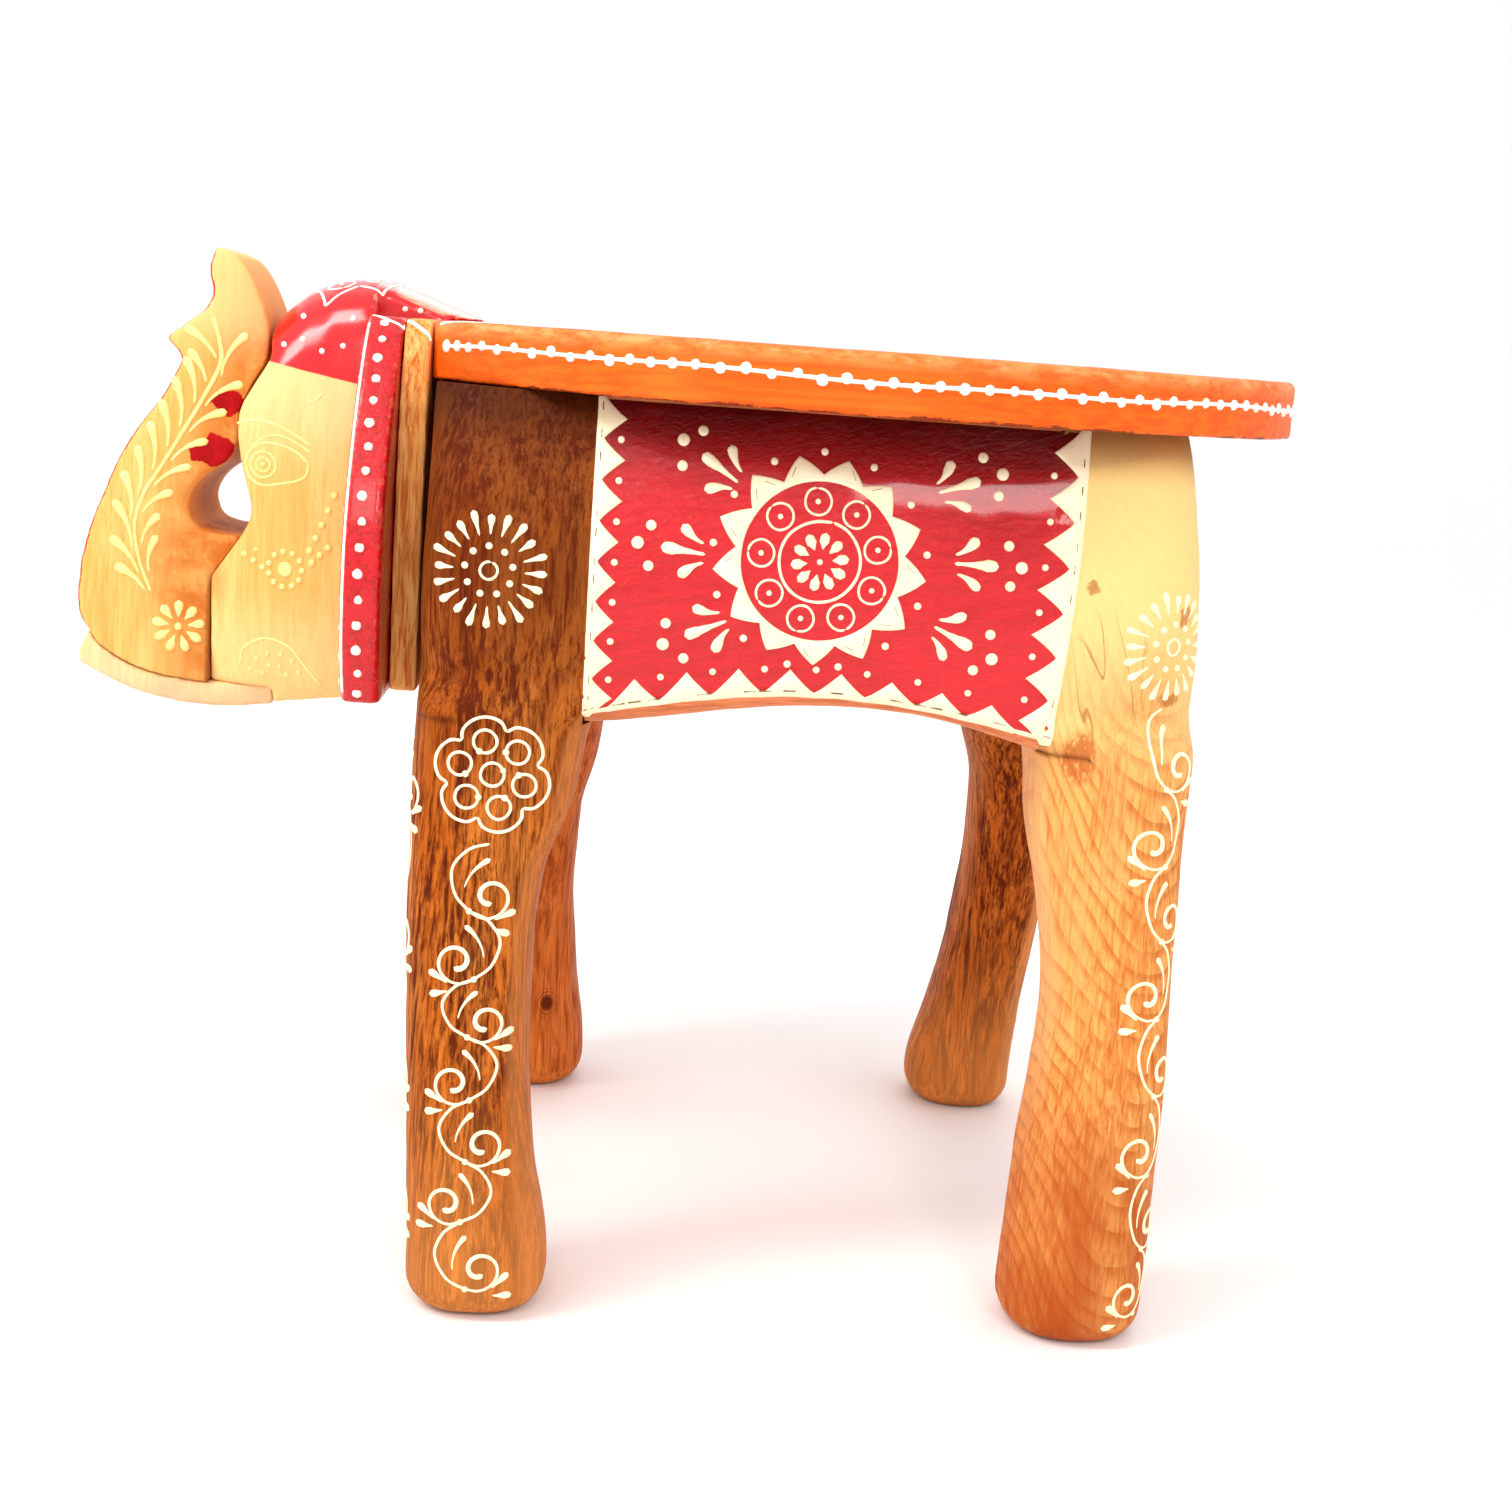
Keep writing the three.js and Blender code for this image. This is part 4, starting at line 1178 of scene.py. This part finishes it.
def saddle(side, hosts, materials):
    """The red ground, its toothed borders, the sun and the sprays on one side of the body."""
    sheet = side_sheet(side)
    left_top, left_low, right_top, right_low, lower = saddle_edges()
    ground = Paint(hosts, sheet, 0.3)
    columns = 110
    shares = [i / 60 for i in range(61)]
    rows = []
    for i in range(columns + 1):
        share = i / columns
        bottom, top = lower(share), left_top.lerp(right_top, share)
        rim = i in (0, columns)
        row = []
        for level, up in enumerate(shares):
            edge = rim or level in (0, len(shares) - 1)
            left_edge = left_low.lerp(left_top, up)
            right_edge = right_low.lerp(right_top, up)
            place = Vector((left_edge.lerp(right_edge, share).x, blend(bottom.y, top.y, up)))
            row.append((place, -0.1 if edge else 0.3))
        rows.append(row)
    ground.grid(rows)
    cloth = ground.show(f"saddle_ground_{SIDE_NAMES[side]}", materials["saddle"], "saddle_paint")

    cream = Paint(hosts + [cloth], sheet, 0.75)

    def toothed(edge, inward, count, base, tip, lean=0.0, last=1.0):
        """A border along an edge, given as a function of the share of its length."""
        outer, inner, dots = [], [], []
        steps = 12
        for i in range(count * steps + 1):
            share = i / (count * steps)
            place = edge(share)
            tooth = (1 - abs(2 * ((i / steps) % 1) - 1)) ** 1.2
            size = blend(1, last, share) * (1 + 0.08 * math.sin(7.1 * math.floor(i / steps) + inward.x))
            outer.append(place)
            inner.append(place + inward * (base + (tip - base) * tooth * size))
        for i in range(1, count):
            dots.append(edge(i / count) + inward * (tip * 0.86 + lean))
        cream.band(outer, inner)
        for place in dots:
            cream.dot(place, 1.05)

    toothed(lambda s: left_top.lerp(left_low, s), Vector((1, 0)), 8, 2.5, 8.6)
    toothed(lambda s: right_top.lerp(right_low, s), Vector((-1, 0)), 7, 3.4, 11.5, 0.6)
    toothed(lambda s: lower(0.052 + s * 0.866), Vector((0, 1)), 8, 1.5, 9.4, 0.6, 0.7)
    cream.stroke([lower(i / 24) + Vector((0, 0.7)) for i in range(25)], 0.75)

    middle = Vector((36.7, 238.1))
    disc, valley, tip, teeth, twist = 23.2, 25.2, 31.4, 13, 0.13
    outer, inner = [], []
    steps = 12
    for i in range(teeth * steps):
        angle = 2 * math.pi * i / (teeth * steps) + twist
        tooth = 1 - abs(2 * ((i / steps) % 1) - 1)
        way = way_at(angle)
        length = blend(valley, tip + 0.9 * math.sin(5.3 * math.floor(i / steps)), tooth)
        outer.append(middle + way * length)
        inner.append(middle + way * disc)
    cream.band(outer, inner, closed=True)
    for i in range(teeth):
        angle = 2 * math.pi * i / teeth + twist
        cream.dot(middle + way_at(angle) * (tip + 0.4), 1.15)
    cream.ring(middle, 11.9, 0.46)
    daisy(cream, middle, 8.8, 10, 0.9, 0.42, 0.165)
    for i in range(9):
        angle = 2 * math.pi * i / 9 + 1.66
        spot = middle + way_at(angle) * 17.5
        cream.ring(spot, 3.9, 0.38, angle)
        cream.dot(spot, 0.85)
    for spot, aim in (
        ((2.5, 265), (37, 245)), ((-7.5, 239), (37, 237)), ((1, 214.5), (34, 232)),
        ((80.5, 264), (40, 247)), ((87, 240.5), (40, 237.5)), ((81.5, 217), (42, 233)),
    ):
        spray(cream, spot, aim)
    cream.show(f"saddle_pattern_{SIDE_NAMES[side]}", materials["cream"])

    dashes = Paint(hosts + [cloth], sheet, 1.0)
    for edge, count in ((lambda s: left_top.lerp(left_low, s) + Vector((1.6, 0)), 13),
                        (lambda s: right_top.lerp(right_low, s) + Vector((-1.8, 0)), 12),
                        (lambda s: lower(s) + Vector((0, 2.1)), 22)):
        for i in range(count):
            start = (i + 0.5 * random.random()) / count
            if random.random() < 0.72 and start < 0.97:
                dash(dashes, edge(start), edge(start + 0.026))
    for i in range(teeth):
        angle = 2 * math.pi * (i + 0.5) / teeth + twist
        way = way_at(angle)
        across = Vector((-way.y, way.x))
        for lean in (-1, 1):
            if random.random() < 0.7:
                start = middle + way * 25.4 + across * lean * 3.4
                dash(dashes, start, start + way * 2.6 - across * lean * 1.7)
    dashes.show(f"saddle_dashes_{SIDE_NAMES[side]}", materials["umber"])


def dash(paint, start, end):
    """A thin dark line where the cream paint is parted. It stands just proud of the cream."""
    along = (Vector(end) - Vector(start)).normalized()
    across = Vector((-along.y, along.x)) * 0.24
    start, end = Vector(start), Vector(end)
    rows = [[(p - across, 0.6), (p, 0.83), (p + across, 0.6)] for p in (start, (start + end) / 2, end)]
    paint.grid(rows)


def leg_pattern(side, carved, materials):
    """Sunburst, lobed flower and vines on a front leg, and a sunburst and vine on a rear leg."""
    name = SIDE_NAMES[side]
    front = Paint([carved[f"leg_front_{name}"]], side_sheet(side), 0.75)
    sunburst(front, (-60, 229))
    lobed_flower(front, (-56, 168.3))
    joints = [(-55.5, 147.5), (-60.6, 127), (-58, 106.5), (-59, 89), (-57.3, 70), (-57.5, 51), (-58, 32.5),
              (-55.5, 11.5)]
    vine(front, joints)
    front.show(f"leg_pattern_front_{name}", materials["cream"])

    face = Paint([carved[f"leg_front_{name}"]], front_sheet(side), 0.75)
    joints = [(99, 176), (96, 154), (100, 131), (100, 110), (103, 88), (103, 67), (106, 46), (105, 27),
              (106, 12)]
    vine(face, joints, 8.0, 0.9)
    face.show(f"leg_pattern_face_{name}", materials["cream"])

    rear = Paint([carved[f"leg_rear_{name}"]], side_sheet(side, 38, (146, 112)), 0.7)
    sunburst(rear, (150, 219), 17.5)
    joints = [(150, 200), (148, 176), (150, 152), (149, 129), (148, 105), (147, 81), (146, 56), (146, 32),
              (145, 11)]
    vine(rear, joints, 7.5, 0.85)
    rear.show(f"leg_pattern_rear_{name}", materials["pale_cream"])


def face_pattern(side, carved, materials):
    """Eye, brow, necklace and jaw arc, in paint close to the colour of the face."""
    name = SIDE_NAMES[side]
    paint = Paint([carved["head"]], side_sheet(side), 0.7)
    iris = (-139.6, 250.2)
    paint.ring(iris, 4.2, 0.42)
    paint.ring(iris, 2.3, 0.36)
    paint.dot(iris, 0.8)
    inner_corner, outer_corner = (-145.9, 249.5), (-124.6, 251.6)
    upper = [(-144.2, 254.2), (-140, 257), (-134, 256.8), (-128.5, 254.8)]
    lower = [(-143.4, 245.2), (-139.4, 243.5), (-134.6, 244.2), (-128, 245.8), (-125.2, 248)]
    paint.stroke([inner_corner, *upper, outer_corner], 0.42)
    paint.stroke([inner_corner, *lower, outer_corner], 0.42)
    paint.stroke([(-144, 255.4), (-138.6, 259.4), (-132, 259.2), (-124, 255.2)], 0.36)
    paint.stroke([(-149.6, 262.4), (-144, 264), (-138.6, 263.8), (-132.8, 262), (-123.7, 257.4)], 0.45)
    paint.stroke([(-126.4, 271.2), (-123.6, 271.6), (-121, 274.2)], 0.4)
    pendant = Vector((-131.2, 216.8))
    paint.dot(pendant, 2.5)
    for i in range(11):
        angle = 2 * math.pi * i / 11
        paint.dot(pendant + Vector((math.cos(angle) * 5.6, math.sin(angle) * 5.8)), 1.0)
    for i in range(5):
        paint.dot((-123.3 + 1.9 * i, 223.6 + 4.0 * i + 0.15 * i * i), 1.15)
    for i in range(3):
        paint.dot((-122.4 + 2.6 * i, 219.8 + 2.6 * i), 1.1)
        paint.dot((-138.8 - 3.1 * i, 217 + 1.9 * i), 1.0)
    paint.dot((-141.2, 222.6), 0.7)
    arc = [(-146.2, 184), (-144.6, 189.6), (-137.4, 193.4), (-129.2, 190.8), (-123.5, 184), (-118.8, 178.6)]
    paint.stroke(arc, 0.42)
    for radius, count in ((8.4, 6), (4.2, 4)):
        for i in range(count):
            angle = math.radians(15 + 150 * i / (count - 1))
            paint.dot((-134.4 + radius * math.cos(angle), 180.4 + radius * math.sin(angle) * 0.98), 0.7)
    paint.show(f"face_pattern_{name}", materials["lemon"])


def trunk_pattern(side, carved, materials):
    """A leafy branch down the trunk, ending in a daisy."""
    name = SIDE_NAMES[side]
    paint = Paint([carved["trunk"]], side_sheet(side), 0.8)
    stem_points = [(-159.2, 296), (-156.8, 288), (-156.4, 281), (-161.6, 269.6), (-167.8, 258.2),
                   (-174.4, 246.5), (-179.6, 237.5), (-182.2, 227.3), (-180.4, 216), (-176.2, 205.6)]
    paint.stroke(stem_points, lambda share: 0.75 - 0.25 * share)
    places, total = curve_through([Vector(p) for p in stem_points], 1.0)

    def beside(length, out):
        index = min(max(int(length / total * (len(places) - 1)), 1), len(places) - 2)
        along = (places[index + 1] - places[index - 1]).normalized()
        return places[index] + Vector((along.y, -along.x)) * out

    for i in range(11):
        start = 3 + 8.6 * i
        out = 7.4 + 3.2 * math.sin(math.pi * min(i + 2, 10) / 10)
        paint.teardrop(beside(start, out), beside(start + 11.5, 1.6), 1.55, 0.1)
    for i in range(8):
        start = 9 + 10.4 * i
        out = -8.6 + 0.25 * i
        paint.teardrop(beside(start, out), beside(start + 11.0, -1.8), 1.35, -0.12)
    daisy(paint, (-167, 194.6), 8.8, 9, 1.3, 0.34, 0.17)
    paint.show(f"trunk_pattern_{name}", materials["lemon"])


def cap_pattern(side, carved, materials):
    """Zigzag lace round the crown of the cap, rings within it and dots below it."""
    name = SIDE_NAMES[side]
    crown = Paint([carved["head"]], top_sheet(side), 0.6)
    lace = [(-133, 0), (-131, 9), (-126.5, 15), (-122.6, 26.5), (-113, 19), (-105, 22.6), (-100.6, 11),
            (-101.5, 0)]
    for start, end in zip(lace, lace[1:]):
        crown.stroke([start, Vector(start).lerp(Vector(end), 0.5), end], 0.42)
    for centre, radius in (((-119.2, 15.6), 4.2), ((-107.6, 11.4), 4.0), ((-121, 4.6), 3.6)):
        crown.ring(centre, radius, 0.38)
        crown.dot(centre, 0.75)
    crown.show(f"cap_lace_{name}", materials["white"])
    below = Paint([carved["head"]], side_sheet(side), 0.6)
    for place in ((-129.6, 298.2), (-135.1, 288.8), (-128.8, 290.9), (-122.1, 287.6), (-115.4, 289.7),
                  (-113, 298.6), (-97.5, 302.8), (-92.6, 302.6)):
        below.dot(place, 0.95)
    below.show(f"cap_dots_{name}", materials["white"])


def ear_pattern(side, carved, materials):
    """A row of dots and an outline on the ear's rim, and a border and sprig on its face."""
    name = SIDE_NAMES[side]
    sheet, total = ear_rim_sheet(side)
    rim = Paint([carved["ear"]], sheet, 0.8)
    middle = (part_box("ear_board")[0].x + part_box("ear_board")[1].x) / 2 / MM
    for i in range(17):
        share = (i + 0.5) / 17
        radius = 1.45 + 0.18 * math.sin(i * 4.1)
        rim.dot((middle - 0.4 + 0.3 * math.sin(i * 2.2), total * share), radius)
    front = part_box("ear_board")[0].x / MM + 1.0
    rim.stroke([(front, total * i / 40) for i in range(1, 40)], 0.42)
    rim.show(f"ear_rim_{name}", materials["white"])

    face = Paint([carved["ear"]], front_sheet(side), 0.7)
    inset = [Vector((y, z)) for y, z in EAR_SIDE[1:]]
    border, _ = curve_through([Vector((y - 7, z - 2)) for y, z in inset], 1.0)
    count = 13
    for i in range(count + 1):
        face.dot(border[int((len(border) - 1) * i / count)], 1.3)
    spray(face, (66, 246), (66, 215), 0.9)
    daisy(face, (64, 212), 10, 10, 1.4, 0.36, 0.17)
    spray(face, (63, 193), (64, 215), 0.8)
    face.show(f"ear_face_{name}", materials["white"])


def joining_line(side, carved, materials):
    """A white line over the ear's top, across the neck plate and along the seat's front corner."""
    hosts = [carved["ear"], carved["neck"], carved["seat"]]
    paint = Paint(hosts, top_sheet(side), 0.6)
    paint.stroke([(-104.5, 53), (-95, 57), (-84, 62)], 0.45)
    paint.stroke([(-82, 63), (-72, 74), (-62, 84)], 0.45)
    paint.show(f"joining_line_{SIDE_NAMES[side]}", materials["white"])


def seat_pattern(seat, materials):
    """A line of beads round the seat's edge."""
    sheet, total = seat_edge_sheet()
    paint = Paint([seat], sheet, 0.85)
    line = []
    steps = 160
    for i in range(steps + 1):
        share = i / steps
        sway = 0.5 * math.sin(share * 21) + 0.3 * math.sin(share * 57)
        fall = 1.3 * math.sin(math.pi * share) ** 2
        line.append((9 + (total - 18) * share, 292.3 - fall + sway))
    paint.stroke(line, 0.62)
    beads = 108
    for i in range(beads + 1):
        share = i / beads
        index = min(int(share * steps), steps)
        u = 9 + (total - 18) * share + 0.8 * math.sin(i * 5.7)
        v = line[index][1] + 0.55 * math.sin(i * 2.9)
        radius = 1.65 + 0.2 * math.sin(i * 1.7) * math.cos(i * 0.37)
        paint.dot((u, v), 2.1 if i in (0, beads) else radius)
    paint.show("seat_beads", materials["white"])


# ---- The stool ----

def build_stool():
    dark, brown, pale = dark_leg_wood(), brown_leg_wood(), pale_leg_wood()
    carved = {}
    legs = {
        "leg_front_left": (dark, "dark_wood"),
        "leg_front_right": (brown, "brown_wood"),
        "leg_rear_left": (pale, "pale_wood"),
        "leg_rear_right": (dark, "dark_wood"),
    }
    for name, (material, slot) in legs.items():
        carved[name] = show_piece(name + "_carved", leg_mesh(name), material, slot, [name])

    def add(key, name, node, mesh, material, slot):
        carved[key] = show_piece(name, mesh, material, slot, [node])

    add("torso", "torso_carved", "torso_block", torso_mesh(), torso_wood(), "saddle_paint")
    add("seat", "seat_carved", "seat_board", seat_mesh(), seat_paint(), "seat_paint")
    ears = softened("ear_board", ["neck_plate"], 1.2, 4, 0.2)
    add("ear", "ears_carved", "ear_board", ears, ear_paint(), "red_paint")
    beside_neck = ["ear_board", "torso_block", "leg_front_left", "leg_front_right"]
    neck = softened("neck_plate", beside_neck, 1.1, 3, 0.2, 0.2)
    add("neck", "neck_carved", "neck_plate", neck, bare_board_wood(), "bare_wood")
    head = softened("head_block", ["trunk", "lower_jaw", "ear_board"], 1.2, 14)
    add("head", "head_carved", "head_block", head, head_paint(), "face_wood")
    trunk = softened("trunk", ["head_block", "lower_jaw"], 1.1, 10)
    add("trunk", "trunk_carved", "trunk", trunk, trunk_paint(), "face_wood")
    jaw = softened("lower_jaw", ["trunk", "head_block"], 1.1, 6)
    add("jaw", "jaw_carved", "lower_jaw", jaw, jaw_paint(), "face_wood")

    materials = {
        "saddle": saddle_paint(),
        "cream": thick_paint("cream_paint", colour(252, 240, 205), colour(246, 228, 180)),
        "pale_cream": thick_paint("pale_cream_paint", colour(255, 244, 206), colour(252, 232, 180)),
        "lemon": thick_paint("lemon_paint", colour(252, 228, 148), colour(246, 212, 118)),
        "white": thick_paint("white_paint", colour(255, 248, 238), colour(246, 232, 214)),
        "umber": thick_paint("umber_paint", colour(104, 60, 22), colour(140, 84, 34)),
    }
    seat_pattern(carved["seat"], materials)
    for side in (-1, 1):
        name = SIDE_NAMES[side]
        body = [carved["torso"], carved[f"leg_front_{name}"], carved[f"leg_rear_{name}"]]
        saddle(side, body, materials)
        leg_pattern(side, carved, materials)
        face_pattern(side, carved, materials)
        trunk_pattern(side, carved, materials)
        cap_pattern(side, carved, materials)
        ear_pattern(side, carved, materials)
        joining_line(side, carved, materials)


def finish_fasteners():
    """The dowels and nails stay as the CAD model has them, with their own materials."""
    wood, steel = dowel_wood(), nail_steel()
    for name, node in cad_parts.items():
        if "dowel" in name or "nail" in name:
            node.data.materials.clear()
            node.data.materials.append(steel if "nail" in name else wood)


# ---- Floor, light and camera ----

def floor_material():
    tree = Tree("pale_floor")
    cloud = tree.noise(tree.mapped((3, 3, 3)), 2.0)
    base = tree.mix(cloud, (0.93, 0.93, 0.93, 1), (0.95, 0.95, 0.95, 1))
    return tree.surface(base, 0.8)


def build_stage():
    """A pale floor that curves up into a backdrop well behind the stool."""
    floor_z = cad_box[0].z / MM
    front, rear, radius, top, half_width = -4000, 2200, 900, 5000, 6000
    profile = [(front, 0), (rear, 0)]
    for i in range(1, 13):
        angle = math.radians(90 * i / 12)
        profile.append((rear + radius * math.sin(angle), radius * (1 - math.cos(angle))))
    profile.append((rear + radius, top))
    points, faces = [], []
    for i, (y, z) in enumerate(profile):
        points += [(-half_width, y, z + floor_z), (half_width, y, z + floor_z)]
        if i:
            faces.append((2 * i - 2, 2 * i - 1, 2 * i + 1, 2 * i))
    mesh = mesh_of("pale_floor", points, faces, sharp=60)
    mesh.materials.append(floor_material())
    floor = bpy.data.objects.new("pale_floor", mesh)
    bpy.context.scene.collection.objects.link(floor)


def area_light(name, place, target, size, power, long_way=(1, 0, 0)):
    """A softbox of that length and width in metres, whose length runs the long way."""
    lamp = bpy.data.lights.new(name, "AREA")
    lamp.shape = "RECTANGLE"
    lamp.size, lamp.size_y = size
    lamp.energy = power
    lamp.color = (1, 0.985, 0.96)
    back = (Vector(place) - Vector(target)).normalized()
    upward = back.cross(Vector(long_way)).normalized()
    light = bpy.data.objects.new(name, lamp)
    turn = Matrix((upward.cross(back), upward, back)).transposed()
    light.matrix_world = Matrix.Translation(place) @ turn.to_4x4()
    bpy.context.scene.collection.objects.link(light)


def build_lights():
    world = bpy.data.worlds.new("studio")
    world.use_nodes = True
    sky = world.node_tree.nodes["Background"]
    sky.inputs["Color"].default_value = (1.0, 1.0, 1.0, 1)
    sky.inputs["Strength"].default_value = 1.0
    bpy.context.scene.world = world
    area_light("key", (-0.3, -1.5, 1.25), (0, 0, 0.18), (0.45, 0.45), 4)
    area_light("window", (0.36, -1.5, 1.25), (0.05, 0, 0.2), (0.3, 0.3), 5)
    area_light("strip", (-0.83, -0.515, 1.18), (-0.12, -0.03, 0.29), (1.0, 0.22), 10, (-0.64, -0.03, -0.51))
    area_light("rim", (0.3, 1.4, 1.5), (0, 0, 0.2), (1.2, 1.2), 8)


# The camera's place in millimetres, its angles in degrees, and its lens and sensor in millimetres.
CAMERA_PLACE = (-15.82, -737.2, 297.1)
CAMERA_YAW, CAMERA_PITCH, CAMERA_ROLL = 3.474, 10.690, 4.202
LENS, SENSOR = 50.72, 36.0


def build_camera():
    data = bpy.data.cameras.new("camera")
    data.lens = LENS
    data.sensor_width = SENSOR
    camera = bpy.data.objects.new("camera", data)
    yaw, pitch, roll = (math.radians(a) for a in (CAMERA_YAW, CAMERA_PITCH, CAMERA_ROLL))
    ahead = Vector((math.sin(yaw) * math.cos(pitch), math.cos(yaw) * math.cos(pitch), -math.sin(pitch)))
    level = Vector((math.cos(yaw), -math.sin(yaw), 0))
    down = ahead.cross(level)
    right = level * math.cos(roll) - down * math.sin(roll)
    below = level * math.sin(roll) + down * math.cos(roll)
    turn = Matrix((right, -below, -ahead)).transposed()
    camera.matrix_world = Matrix.Translation(at(*CAMERA_PLACE)) @ turn.to_4x4()
    bpy.context.scene.collection.objects.link(camera)
    bpy.context.scene.camera = camera
    bpy.context.scene.view_settings.view_transform = "Standard"


build_camera()
build_lights()
build_stage()
build_stool()
finish_fasteners()
